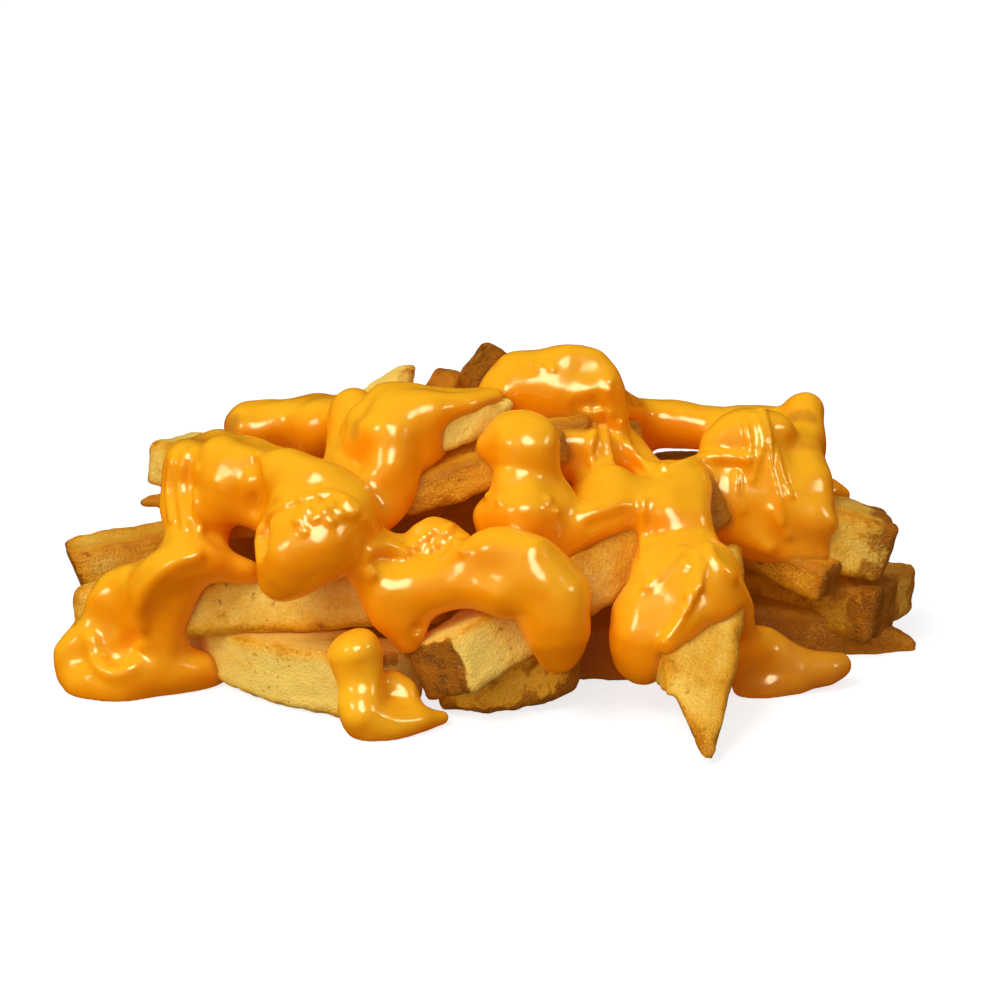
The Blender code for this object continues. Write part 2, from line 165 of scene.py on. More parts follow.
# The fries at the front come first, then those at the back and inside the heap
# A fry's tone is partly its own colour and partly painted shade: fries in shade are given high tones that
# turn them deep brown, and tones above about 1.7, reached also through drift, paint the red-brown shade of
# the heap's hollows.
FRIES: dict[str, Fry] = {
    "floor_left": Fry(
        (-56, 7, 6), (-15, -23, 6.5), 15, 12.5, sweep=4, tail_end=End(0.3), tone=0.35, drift=-0.45
    ),
    "floor_front": Fry(
        (-9, -16, 6), (17, -15, 6.5), 15, 12, head_end=End(0.6, 0, 0.4), tone=1.0, skin=Skin.FRONT_LOW
    ),
    "floor_middle": Fry((4, 0, 5.5), (46, -1, 5.5), tone=2.0),
    "floor_right": Fry(
        (42, 16, 5.5), (84, 13, 3), 12, 10, head_end=End(0.2, 0, -0.6), tone=1.75, skin=Skin.MOST
    ),
    "front_tip": Fry(
        (35.5, -37, 5.4), (41.5, -3, 24), 14.5, 11, -14,
        tail_end=End(0.74, 0, -1, 12.5, 10), head_end=End(0.8, 0, 0, 3), tone=0.5,
    ),
    "front_long": Fry(
        (-8.8, -27, 9.9), (42, 6, 33), 13, 11.6, 16,
        tail_end=End(0.96, 0, 0, -4, -1), tone=-0.12, skin=Skin.TAIL, drift=1.45,
    ),
    "left_long": Fry((-76, -3, 13.5), (-8, -12, 20), 11, 11.5, 12, tail_end=End(0.8), tone=0.38),
    "left_back": Fry(
        (-80.2, 14.2, 15.6), (-34, 28, 22), tail_end=End(0.92, under=2.4), tone=0.85, skin=Skin.TAIL
    ),
    "right_end_low": Fry((77, 9, 9), (46, 30, 12), 13, 11.5, tone=1.35, skin=Skin.MOST),
    "right_end_back": Fry((83, 22, 8), (55, 40, 8), 11, 11, tone=0.8),
    "right_end_high": Fry((77, 13, 21), (42, 10, 31), 14, 13, tone=0.55, skin=Skin.TAIL_CAP),
    "right_under": Fry((65.5, 2.5, 17), (50, 13, 22), 9, 7.5, tone=1.2, skin=Skin.TAIL),
    "left_top": Fry((-60.5, 10, 39.5), (-26, -18, 32), 12.5, 10, bow=3, tone=0.1),
    "left_sliver": Fry((-69, 30, 25), (-44, 32, 25), 6, 4.5, tail_end=TIP, tone=1.0, skin=Skin.TAIL),
    "back_left": Fry((-50.5, 25, 41), (-14, 30, 42), 9, 6.5),
    "tip_up": Fry((-28, 20, 40), (-14, 24, 54), 9, 7, head_end=TIP, tone=-0.1),
    "pale_tip": Fry((-24, -3, 46), (5, 2, 50), 12, 8, head_end=End(0.2, 0, 0.6), tone=-0.15),
    "skin_small": Fry((-9.3, 23, 51.2), (2, 34, 38), 8, 8, tone=1.4, skin=Skin.BLOTCHED),
    "skin_large": Fry((-2, 16, 56.6), (14, 22, 42), 11, 10.5, tone=1.15, skin=Skin.MOST),
    "top": Fry((3, 12, 52.5), (21, 11, 51.5), 10, 8),
    "middle_high": Fry((-17, -6, 36.5), (14, 2, 45), 11, 7.5, tone=1.3, drift=-0.7),
    "middle_low": Fry((-20, 9, 26), (8, 10, 31), 11, 10, tone=2.2),
    "film_stub": Fry((13, 6, 44), (23, 11, 37.5), 8, 7, tone=0.9, skin=Skin.TOP),
    "bridge": Fry((26, 32, 40.5), (52, 29, 40.5), 6, 5),
    "under_bridge": Fry((33, 34, 29), (60, 34, 29), 11, 9, tone=0.6, skin=Skin.TOP),
    "right_knob": Fry((61, 22, 45), (61, 20, 24), 5, 5),
    "right_mound": Fry((47, 14, 41), (61, 18, 36), 10, 9),
    "back_floor_left": Fry((-68, 31, 5.5), (-14, 43, 5.5), 12, 11, sweep=-3, tone=0.35),
    "back_floor_right": Fry((-24, 50, 5.5), (38, 45, 5.5), 13, 11, tail_end=End(0.5), tone=0.2),
    "back_floor_end": Fry((16, 31, 5.5), (66, 45, 5.5), tone=0.5, skin=Skin.HEAD),
    "back_low_left": Fry((-60, 24, 15), (-2, 43, 15.5), 12, 11, 8, tone=0.5, skin=Skin.BACK),
    "back_low_right": Fry((-16, 32, 16), (44, 47, 15), 12, 11, bow=2, head_end=End(0.6), tone=0.3),
    "back_low_end": Fry((68, 32, 17), (18, 28, 17), 11, 11, tone=0.35, skin=Skin.TAIL),
    "back_middle_left": Fry((-52, 22, 30), (4, 38, 26), 12, 11, -10, 0, 2, tail_end=End(0.7), tone=0.25),
    "back_middle_right": Fry((-12, 44, 26), (32, 22, 26), 12, 10.5, tone=0.6, skin=Skin.TAIL),
    "back_middle_end": Fry((62, 36, 27), (22, 20, 25), 11, 10, tone=0.45),
    "back_high_left": Fry((-40, 36, 33), (10, 24, 38), 11, 10, 6, tone=0.3),
    "back_high_right": Fry((-6, 36, 37), (28, 14, 40), 11, 10, tone=0.5, skin=Skin.TAIL),
    "inside_left": Fry((-58, 6, 22), (-6, 16, 30), tone=1.1, skin=Skin.TAIL, drift=4.0),
    "inside_left_high": Fry((-50, 4, 31), (-8, 2, 37), tone=1.2, drift=3.6),
    "inside_top": Fry((-26, 7, 39.5), (20, 8, 44), tone=0.95),
    "bridge_post": Fry((30, 35, 26), (26, 31, 42), 8, 7, tone=0.4),
    "bridge_rest": Fry((46, 40, 25), (53, 27, 41), 9, 8, tone=0.4),
    "inside_right": Fry((6, 16, 30), (60, 18, 24), tone=2.2),
}


@dataclass(frozen=True)
class Coat:
    """Sauce that wraps a stretch of a fry, from share start to share end of its length."""

    fry: str
    start: float
    end: float
    thickness: float = 3.0


COATS: tuple[Coat, ...] = (
    Coat("left_long", 0.07, 0.27, 1.6),
    Coat("left_top", 0.14, 0.36, 1.1),
    Coat("left_top", 0.36, 1.0, 1.9),
    Coat("back_left", 0.03, 1.0, 2.0),
    Coat("tip_up", 0.0, 0.35, 1.6),
    Coat("pale_tip", 0.0, 0.5, 1.6),
    Coat("top", 0.0, 1.0, 1.8),
    Coat("skin_large", 0.62, 1.0, 1.8),
    Coat("front_long", 0.31, 0.45, 1.6),
    Coat("front_long", 0.77, 0.9, 0.9),
    Coat("bridge", 0.0, 1.0, 2.0),
    Coat("bridge_post", 0.4, 1.0, 1.2),
    Coat("right_knob", 0.05, 1.0, 1.8),
    Coat("right_mound", 0.0, 1.0, 1.6),
    Coat("right_end_high", 0.42, 1.0, 1.6),
    Coat("film_stub", 0.32, 1.0, 1.7),
)


@dataclass(frozen=True)
class Run:
    """A strand of sauce through beads of x, y, z and radius.

    Its blend is how widely it flows into its neighbours.
    """

    beads: tuple[Bead, ...]
    blend: float = 3.0


# The strands at the back and over the top, as points of the heap
BACK_RUNS: dict[str, Run] = {
    "back_left_join": Run(((-40, 26, 43, 4), (-30, 22, 43, 4.5), (-25, 10, 46, 5))),
    "back_top_join": Run(((-16, 8, 45, 5), (-4, 16, 45, 5), (6, 18, 49, 5))),
    "back_bridge_join": Run(((21, 15, 50, 4.5), (26, 24, 45, 4), (30, 32, 41, 4))),
    "back_sheet": Run(((-8, 20, 42, 6.5), (0, 27, 43, 7), (8, 30, 45, 6.5), (14, 28, 45, 5))),
    "back_sheet_left": Run(((-32, 20, 42, 6), (-22, 24, 42, 7), (-12, 28, 41, 6), (-2, 34, 39, 6))),
    "back_sheet_right": Run(((47, 21, 39.5, 5), (53, 27, 38, 6), (59, 27, 37, 5))),
    "back_pour": Run(((10, 20, 50, 6), (6, 33, 44, 7), (1, 42, 35, 6), (-3, 48, 25, 4.5), (-4, 50, 18, 5.5))),
    "back_pour_left": Run(((-34, 28, 41, 6), (-39, 33, 36, 6.5), (-45, 36, 27, 4.5), (-47, 39, 19, 5.5))),
    "back_pour_right": Run(((55, 27, 39, 6), (53, 34, 34, 6), (51, 40, 27, 4.5), (50, 44, 19, 5.5))),
}

# The strands that show at the front, as places of the front view with their depth and radius
FRONT_RUNS: dict[str, Run] = {
    "ridge": Run(
        ((252, 574, -12, 1.9), (228, 568, -13, 2.6), (204, 561, -14, 3.8), (182, 562, -15, 4),
         (160, 576, -14, 4), (146, 594, -12, 3.8), (145, 614, -11, 3.6), (154, 634, -11, 3.6),
         (162, 654, -11, 3.4), (166, 674, -11, 3.2))
    ),
    "ridge_side": Run(((200, 566, -12, 3), (184, 586, -12, 3.2), (174, 608, -11, 3.2), (174, 632, -10, 3))),
    "end_sheet": Run(((150, 577, -9, 3.4), (136, 596, -8, 3.2), (128, 618, -7, 3.2), (128, 640, -8, 3.6))),
    "end_sheet_middle": Run(((130, 586, -7, 3.2), (116, 600, -6, 3), (108, 618, -6, 3), (108, 640, -7, 3.4))),
    "end_sheet_left": Run(((108, 597, -6, 2.8), (98, 608, -5, 2.8), (92, 625, -5, 2.8), (90, 644, -7, 3))),
    "pool_rim": Run(
        ((92, 634, -8, 3), (74, 656, -8, 3.6), (82, 678, -10, 4.2), (112, 686, -12, 4.6),
         (140, 676, -12, 4.4))
    ),
    "pool": Run(((104, 664, -8, 5), (132, 668, -9, 5), (150, 672, -8, 4.5))),
    "pool_web": Run(((160, 660, -9, 4), (180, 668, -9, 4.2), (198, 668, -8, 3.6), (216, 668, -6, 2.4))),
    "web_low": Run(((150, 684, -9, 3), (176, 682, -8, 2.8), (202, 678, -7, 2.4), (220, 672, -6, 1.6))),
    "skirt_edge": Run(((187, 457, -2, 2.6), (177, 479, -3, 2.5), (175, 508, -6, 2.4), (178, 540, -10, 2.8))),
    "skirt_fold": Run(((194, 462, -3, 3), (192, 495, -7, 2.6), (194, 528, -10, 3), (192, 548, -13, 3))),
    "lobe": Run(((226, 462, -6, 5), (226, 486, -9, 5.4), (217, 504, -10, 4.2)), 2.0),
    "lobe_hem": Run(
        ((200, 520, -8, 3), (208, 542, -10, 2.8), (226, 562, -12, 2.1), (246, 570, -13, 1.7)), 2.0
    ),
    "lobe_web": Run(((216, 508, -7, 3.4), (214, 528, -8, 3), (212, 548, -10, 3)), 2.0),
    "roll": Run(((258, 470, -10, 4.6), (288, 476, -16, 5), (316, 486, -19, 5.4), (344, 508, -21, 5.2))),
    "bulge": Run(((346, 520, -21, 5.6), (322, 536, -24, 7.8), (298, 556, -26, 7), (283, 577, -26, 4.6))),
    "bulge_side": Run(((285, 534, -23, 4.8), (296, 512, -22, 4.9))),
    "band_a": Run(((352, 410, 8, 3.8), (347, 438, 4, 3.8), (343, 464, -2, 3.6), (340, 486, -10, 3.6))),
    "band_b": Run(((392, 405, 1, 4.8), (393, 428, -6, 5), (392, 452, -9, 4.8), (387, 474, -10, 4.4))),
    "band_gap": Run(((361, 424, -1, 2.8), (360, 442, -4.2, 3), (359, 460, -5, 3))),
    "band_web": Run(((404, 470, -7, 3.2), (393, 494, -10, 3.6), (378, 514, -13, 3.4), (360, 520, -16, 3.4))),
    "band_low": Run(((362, 480, -7, 3.4), (366, 500, -12, 3.6))),
    "band_pale": Run(
        ((410, 404, 1, 3.8), (428, 403, 0, 3.2), (446, 400, 1, 2.6), (470, 398, 2, 2), (490, 397, 3, 1.4))
    ),
    "band_pale_edge": Run(
        ((418, 414, -5, 3.6), (432, 412, -5, 3.2), (447, 409, -4, 2.8), (464, 405, -3, 2.3),
         (480, 401, -1, 1.8), (494, 399, 1, 1.2))
    ),
    "band_pale_low": Run(((408, 442, -4, 3.4), (424, 448, -4, 2.8), (436, 448, -3, 2))),
    "top_ridge": Run(((516, 378, 10, 3.6), (540, 375, 10, 4), (568, 367, 10.5, 4.2), (588, 366, 11.5, 3.8))),
    "top_side": Run(((601, 380, 10, 3.6), (609, 397, 9.5, 3.2), (615, 413, 9, 2.4))),
    "top_face": Run(((508, 391, 10, 4.4), (530, 396, 10.5, 5.8), (554, 396, 10, 5.8), (580, 396, 10, 5))),
    "top_left": Run(((512, 372, 12, 3), (500, 388, 11, 2.6), (490, 400, 9, 2.2))),
    "middle": Run(((526, 446, -8, 6.1), (524, 470, -9, 5.2), (520, 492, -11, 5.6), (520, 514, -13, 6.6))),
    "middle_side": Run(((548, 492, -8, 4), (556, 510, -10, 4.6), (552, 530, -12, 3.6))),
    "middle_left": Run(((492, 446, -5, 3.4), (510, 440, -6, 4.4))),
    "middle_skirt": Run(((494, 518, -10, 4), (500, 534, -12, 3.6), (530, 536, -14, 3.4))),
    "yellow": Run(((597, 502, -3, 5.6), (608, 499, -3, 6.2), (619, 502, -3, 5.4)), 1.2),
    "yellow_roll": Run(
        ((566, 537, -11, 4.2), (586, 524, -11, 4.1), (608, 516, -9, 4), (630, 509, -6, 3.8)), 1.8
    ),
    "ring": Run(((368, 566, -20, 3.2), (378, 549, -20, 3), (396, 549, -19, 2.8), (408, 562, -19, 2.8))),
    "ring_low": Run(((372, 574, -22, 3.6), (386, 596, -23, 5), (402, 618, -24, 4.2), (408, 638, -24, 3))),
    "front_top": Run(((416, 556, -17, 4), (436, 542, -15, 4.4), (456, 550, -17, 4))),
    "front_bed": Run(((412, 582, -22, 4.6), (434, 586, -23, 4.8), (458, 582, -24, 4.8))),
    "front_roll": Run(((478, 564, -24, 4.4), (498, 552, -24, 4.6), (524, 558, -25, 5))),
    "front_fill": Run(((504, 571, -24, 4.6), (534, 573, -25, 5.2))),
    "front_blob": Run(((530, 580, -25, 6.6), (551, 598, -26, 7), (556, 626, -27, 6.2), (557, 648, -26, 4.2))),
    "front_left_lip": Run(((478, 588, -25, 4.2), (500, 596, -27, 4))),
    "stream": Run(
        ((668, 484, 2, 4), (667, 499, -4, 4.4), (667, 516, -8, 4.2), (670, 536, -9.5, 4.2),
         (673, 556, -12, 4.8), (668, 580, -17, 5.8), (655, 606, -20, 6.6), (645, 632, -22, 6.6),
         (643, 655, -22, 5.2))
    ),
    "stream_mid": Run(
        ((688, 486, 1, 3.8), (689, 500, -3, 4), (692, 518, -7, 4), (695, 538, -9, 4), (698, 557, -12, 4.4),
         (702, 578, -17, 5.2), (702, 598, -20, 4.4))
    ),
    "stream_side": Run(
        ((651, 494, -2, 2.8), (650, 510, -6, 2.8), (650, 532, -8.5, 2.8), (652, 553, -11, 2.8),
         (648, 574, -15, 2.8))
    ),
    "tip_lip": Run(
        ((667, 648, -30, 1.7), (676, 634, -27.6, 2), (702, 613, -22.8, 2.1), (724, 605, -20.6, 1.9))
    ),
    "tip_fill": Run(((686, 592, -19, 5.6), (672, 609, -22, 5.4), (658, 630, -24, 4.6), (652, 654, -25, 3.6))),
    "tip_fold": Run(((708, 570, -16, 4.6), (715, 586, -18.4, 4.6), (719, 597, -19.6, 3.8))),
    "stream_right": Run(
        ((700, 560, -13, 3.6), (710, 576, -15, 3.5), (729, 595, -17, 3), (745, 615, -16, 2.2),
         (750, 635, -14, 1.9), (749, 654, -10, 1.9))
    ),
    "film": Run(((652, 478, 3, 2.8), (664, 472, 5, 2.4))),
    "stub_film": Run(
        ((566, 424, 9, 2.2), (582, 419, 10, 2.4), (600, 420, 11, 2.6), (618, 436, 11, 2.4),
         (636, 452, 10, 2.2), (652, 464, 8, 2))
    ),
    "stub_web": Run(
        ((560, 448, 3, 3.2), (576, 446, 3, 3.4), (592, 448, 3.4, 3.2), (608, 452, 5, 2.8),
         (624, 459, 6, 2.6), (640, 466, 6, 2.2))
    ),
    "stub_web_low": Run(((562, 464, 1.5, 2.6), (580, 466, 2, 2.8), (596, 468, 2.5, 2.6))),
    "mound": Run(((722, 446, 10, 4.2), (734, 434, 11, 4.4), (752, 430, 12, 4.4), (772, 432, 13, 4.2))),
    "mound_middle": Run(((752, 450, 9, 4.2), (760, 476, 8, 4))),
    "mound_low": Run(((736, 472, 9, 3.8), (742, 494, 8, 3.6), (756, 514, 7, 3.4), (768, 534, 6, 3))),
    "mound_left": Run(((690, 474, 6, 2.4), (708, 467, 7, 2.8), (716, 489, 6, 2.7), (726, 508, 5, 2.4))),
    "right_lobe": Run(((770, 470, 10, 4.4), (778, 496, 8, 4.2), (788, 522, 7, 4), (794, 546, 6, 3.4))),
    "right_lobe_right": Run(((796, 486, 10, 4), (806, 512, 8, 3.8), (812, 536, 7, 3.4), (816, 554, 6, 2.8))),
    "right_edge": Run(
        ((803, 414, 25, 4), (803, 440, 22, 4), (806, 466, 15, 4), (816, 492, 9, 3.6), (822, 520, 6, 3))
    ),
    "right_dots": Run(((831, 490, 18, 2.8), (842, 494, 19, 1.8))),
    "right_drip": Run(((744, 530, 4, 1.8), (757, 540, 3, 1.6), (768, 548, 2, 1.4))),
    "floor_strand": Run(
        ((742, 652, -11, 4.6), (764, 652, -9, 4.6), (786, 662, -9, 4.4), (806, 668, -9, 3.8),
         (826, 668, -9, 3.2), (840, 664, -8, 2.4))
    ),
    "floor_strand_low": Run(((745, 684, -12, 2.8), (770, 686, -12, 2.8), (794, 682, -11, 2.4))),
}

# The drip that lies by itself at the front, given in the same way
DRIPPED: dict[str, Run] = {
    "head": Run(((356, 655, -30, 4.9), (361, 684, -31, 3.9), (365, 714, -33, 4.5), (392, 722, -32, 3.6),
                 (420, 719, -30, 2.6), (443, 717, -28, 1.7))),
    "behind": Run(((392, 683, -27, 2.6), (402, 693, -27, 2.8), (409, 705, -27, 2.4))),
}


@dataclass(frozen=True)
class Mark:
    """A ridge, string, bubble or dent on the sauce, along a path of the front view.

    Its middle lies lift millimetres out from the sauce's surface, towards the front.
    """

    path: tuple[Place, ...]
    radius: float
    lift: float = 0.0
    blend: float = 1.0


# What is pressed into the sauce, and the strings and folds that lie on it
DENTS: tuple[Mark, ...] = (
    Mark(((118, 655), (128, 650)), 2.6, 1.3, 2.0),
    Mark(((260, 528), (262, 545)), 2.0, -0.8, 1.5),
    Mark(((262, 520), (272, 508), (292, 500)), 1.3, 0.7, 1.2),
    Mark(((418, 628),), 1.3, -0.2, 1.0),
    Mark(((594, 526), (610, 521), (626, 515)), 0.9, 0.6, 1.6),
    Mark(((250, 462), (256, 490), (252, 510)), 1.4, 0.8, 1.4),
    Mark(((600, 404), (580, 410)), 1.6, 0.9, 1.6),
)

STRINGS: tuple[Mark, ...] = (
    Mark(((762, 410), (769, 438), (770, 464), (777, 492), (782, 520)), 0.65),
    Mark(((755, 415), (763, 440), (758, 460), (752, 480)), 0.45),
    Mark(((745, 422), (750, 448), (748, 470)), 0.4),
    Mark(((776, 450), (782, 476), (790, 496)), 0.45),
    Mark(((737, 474), (736, 496), (742, 512)), 0.45),
    Mark(((770, 510), (780, 524), (788, 536)), 0.5),
    Mark(((196, 556), (168, 567), (148, 587), (139, 606), (141, 626)), 0.9, 0.1, 2.0),
    Mark(((697, 552), (696, 575), (689, 604), (675, 628), (664, 642)), 0.5, 0.0, 1.2),
    Mark(((704, 566), (696, 592), (684, 612)), 0.35),
    Mark(((682, 550), (668, 566), (648, 586)), 0.45, 0.0, 2.0),
    Mark(((708, 546), (716, 562), (733, 576)), 0.45, 0.0, 2.0),
    Mark(((186, 452), (180, 486), (186, 528)), 0.7),
    Mark(((172, 462), (169, 492), (172, 520)), 0.6),
    Mark(((198, 470), (196, 500), (200, 530)), 0.6),
    Mark(((262, 530), (276, 512), (300, 500), (330, 494), (356, 506), (372, 526)), 0.8, 0.1),
    Mark(((92, 640), (98, 664), (116, 674), (136, 664), (144, 646)), 1.1, -0.2, 1.6),
    Mark(((370, 574), (363, 561), (370, 549), (386, 546), (402, 553)), 1.4, 0.1, 1.2),
    Mark(((660, 472), (686, 464), (712, 457), (746, 459)), 1.0, 0.1, 1.4),
    Mark(((643, 500), (643, 530), (642, 556)), 0.5),
    Mark(((588, 412), (594, 428), (590, 450), (592, 464)), 0.6, 0.2),
    Mark(((599, 412), (606, 436), (611, 460)), 0.55, 0.2),
    Mark(((610, 414), (620, 438), (634, 456), (650, 470)), 0.6, 0.2),
    Mark(((620, 424), (630, 446), (644, 462), (663, 466)), 0.5, 0.2),
)

# The bubbles, as places of the front view with their radius
BUBBLES: tuple[tuple[float, float, float], ...] = (
    (300, 522, 1.2), (308, 512, 1.4), (318, 506, 1.1), (324, 514, 1.5), (332, 506, 1.2), (340, 514, 1.3),
    (314, 520, 1.0), (330, 522, 1.0), (346, 504, 1.0), (352, 512, 1.6), (304, 532, 0.9), (362, 520, 0.9),
    (414, 546, 1.1), (424, 538, 1.3), (434, 530, 1.2), (446, 534, 1.4), (440, 544, 1.0), (456, 544, 1.1),
    (428, 550, 0.9), (464, 552, 0.9), (450, 526, 0.8), (488, 496, 0.7), (500, 502, 0.8), (548, 500, 0.8),
    (556, 512, 0.7), (690, 596, 0.9), (686, 566, 0.8), (699, 586, 0.8), (540, 368, 0.7), (530, 364, 0.6),
    (552, 370, 0.6), (610, 382, 0.7), (608, 391, 0.6), (603, 398, 0.6),
)

# Where the sauce is coloured thin and dull, as places of the front view with their depth, radius and how thin
# it is. Mostly this is thin sauce over a fry; on the strand that lies on the surface at the front right, with
# no fry under it, it is painted shade.
THIN_AND_SHADED_PLACES: tuple[tuple[float, float, float, float, float], ...] = (
    (780, 670, -9, 9, 0.9), (815, 668, -9, 9, 0.9), (750, 682, -12, 8, 0.8), (800, 534, 8, 9, 0.7),
    (746, 616, -14, 6, 0.7), (730, 495, 7, 7, 0.6), (812, 460, 18, 9, 0.5), (610, 436, 10, 7, 0.4),
)


def operator(operation: str, swapped: bool = False) -> Callable[[Value, Any], Value]:
    """A Python operator that adds a Math node.

    Args:
        operation: the node's operation.
        swapped: whether the Value comes second, as it does in 1 - mask.

    Returns:
        The operator, as a method of Value.
    """

    def apply(self: Value, other: Any) -> Value:
        """Adds the node."""
        return self.maths(operation, other, self) if swapped else self.maths(operation, self, other)

    return apply


class Value:
    """A number socket of a node tree, to which Python's operators add Math nodes."""

    def __init__(self, graph: Graph, socket: bpy.types.NodeSocket) -> None:
        """Wraps the socket."""
        self.graph = graph
        self.socket = socket

    def maths(self, operation: str, *values: Any) -> Value:
        """One Math node on numbers or Values."""
        node = self.graph.node("ShaderNodeMath", {"operation": operation}, dict(enumerate(values)))
        return Value(self.graph, node.outputs[0])

    __add__, __radd__ = operator("ADD"), operator("ADD", True)
    __sub__, __rsub__ = operator("SUBTRACT"), operator("SUBTRACT", True)
    __mul__, __rmul__ = operator("MULTIPLY"), operator("MULTIPLY", True)
    __truediv__, __pow__ = operator("DIVIDE"), operator("POWER")
    least, most = operator("MINIMUM"), operator("MAXIMUM")

    def __abs__(self) -> Value:
        """The size of self without its sign."""
        return self.maths("ABSOLUTE", self)

    def step(self, low: float, high: float) -> Value:
        """A smooth step from 0 at low to 1 at high; with low above high it falls instead."""
        if low > high:
            return 1.0 - self.step(high, low)
        inputs = {"Value": self, "From Min": low, "From Max": high, "To Min": 0.0, "To Max": 1.0}
        node = self.graph.node("ShaderNodeMapRange", {"interpolation_type": "SMOOTHSTEP"}, inputs)
        return Value(self.graph, node.outputs[0])


class Graph:
    """Builds the nodes of one shader or geometry tree, and lays them out in columns."""

    rows, wide, high = 6, 220, 170

    def __init__(self, tree: bpy.types.NodeTree) -> None:
        """Takes an empty tree."""
        self.tree = tree
        self.count = 0

    def node(
        self,
        kind: str,
        settings: Mapping[str, Any] | None = None,
        inputs: Mapping[str | int, Any] | None = None,
    ) -> bpy.types.Node:
        """One node.

        Args:
            kind: the node's type.
            settings: its properties.
            inputs: its sockets by name or index, with numbers, colours, Values or sockets.

        Returns:
            The new node.
        """
        made = self.tree.nodes.new(kind)
        made.location = (self.wide * (self.count // self.rows), -self.high * (self.count % self.rows))
        self.count += 1
        for name, value in (settings or {}).items():
            setattr(made, name, value)
        for key, value in (inputs or {}).items():
            named = [s for s in made.inputs if s.name == key and s.enabled]
            self.feed(made.inputs[key] if isinstance(key, int) else named[0], value)
        return made

    def feed(self, socket: bpy.types.NodeSocket, value: Any) -> None:
        """Links or sets one input socket."""
        source = value.socket if isinstance(value, Value) else value
        if isinstance(source, bpy.types.NodeSocket):
            self.tree.links.new(source, socket)
        else:
            socket.default_value = (*source, 1.0) if socket.type == "RGBA" else source

    def out(self, kind: str, settings: Mapping[str, Any] | None = None, **inputs: Any) -> Any:
        """The first output of a new node, whose inputs are given by name."""
        return self.node(kind, settings, inputs).outputs[0]

    def value(self, socket: bpy.types.NodeSocket) -> Value:
        """A socket as a Value."""
        return Value(self, socket)

    def stored(self, name: str) -> Value:
        """A number that the mesh keeps for each point, in a shader."""
        return self.value(self.node("ShaderNodeAttribute", {"attribute_name": name}).outputs["Fac"])

    def read(self, name: str, kind: str = NUMBER) -> Any:
        """A named attribute of the geometry, as a Value or as a vector socket."""
        node = self.node("GeometryNodeInputNamedAttribute", {"data_type": kind}, {"Name": name})
        socket = next(s for s in node.outputs if s.enabled and s.name == "Attribute")
        return self.value(socket) if kind == NUMBER else socket

    def store(self, geometry: Any, name: str, value: Any, kind: str = NUMBER) -> Any:
        """The geometry with a value kept on every point under a name."""
        inputs = {"Geometry": geometry, "Name": name, "Value": value}
        return self.out("GeometryNodeStoreNamedAttribute", {"data_type": kind, "domain": "POINT"}, **inputs)

    def parts(self, vector: Any) -> tuple[Value, Value, Value]:
        """The three numbers of a vector."""
        x, y, z = self.node("ShaderNodeSeparateXYZ", inputs={0: vector}).outputs
        return self.value(x), self.value(y), self.value(z)

    def vector(self, x: Any, y: Any, z: Any) -> bpy.types.NodeSocket:
        """A vector of three numbers."""
        return self.out("ShaderNodeCombineXYZ", X=x, Y=y, Z=z)

    def vectors(self, operation: str, *values: Any, output: int = 0) -> bpy.types.NodeSocket:
        """The result of one Vector Math node."""
        settings = {"operation": operation}
        return self.node("ShaderNodeVectorMath", settings, dict(enumerate(values))).outputs[output]

    def scaled(self, vector: Any, factor: Any) -> bpy.types.NodeSocket:
        """A vector times a number."""
        settings = {"operation": "SCALE"}
        return self.node("ShaderNodeVectorMath", settings, {0: vector, "Scale": factor}).outputs[0]

    def noise(self, vector: Any, size: float, detail: float = 2.0, roughness: float = 0.5) -> Value:
        """Smooth noise of about 0 to 1 whose lumps are size metres across."""
        inputs = {"Vector": vector, "Scale": 1.0 / size, "Detail": detail, "Roughness": roughness}
        return self.value(self.out("ShaderNodeTexNoise", **inputs))

    def mix(self, factor: Any, first: Any, second: Any) -> bpy.types.NodeSocket:
        """A colour between first and second."""
        made = self.node("ShaderNodeMix", {"data_type": "RGBA"}, {"Factor": factor, "A": first, "B": second})
        return next(s for s in made.outputs if s.enabled)

    def shade(self, *inputs: tuple[str, Any]) -> None:
        """Wires a Principled shader with these inputs to a material's output."""
        shader = self.node("ShaderNodeBsdfPrincipled", inputs=dict(inputs))
        self.node("ShaderNodeOutputMaterial", inputs={"Surface": shader.outputs[0]})


def emptied(owner: bpy.types.Material | bpy.types.World) -> Graph:
    """Clears the node tree of a material or a world, to build it anew."""
    owner.use_nodes = True
    owner.node_tree.nodes.clear()
    return Graph(owner.node_tree)


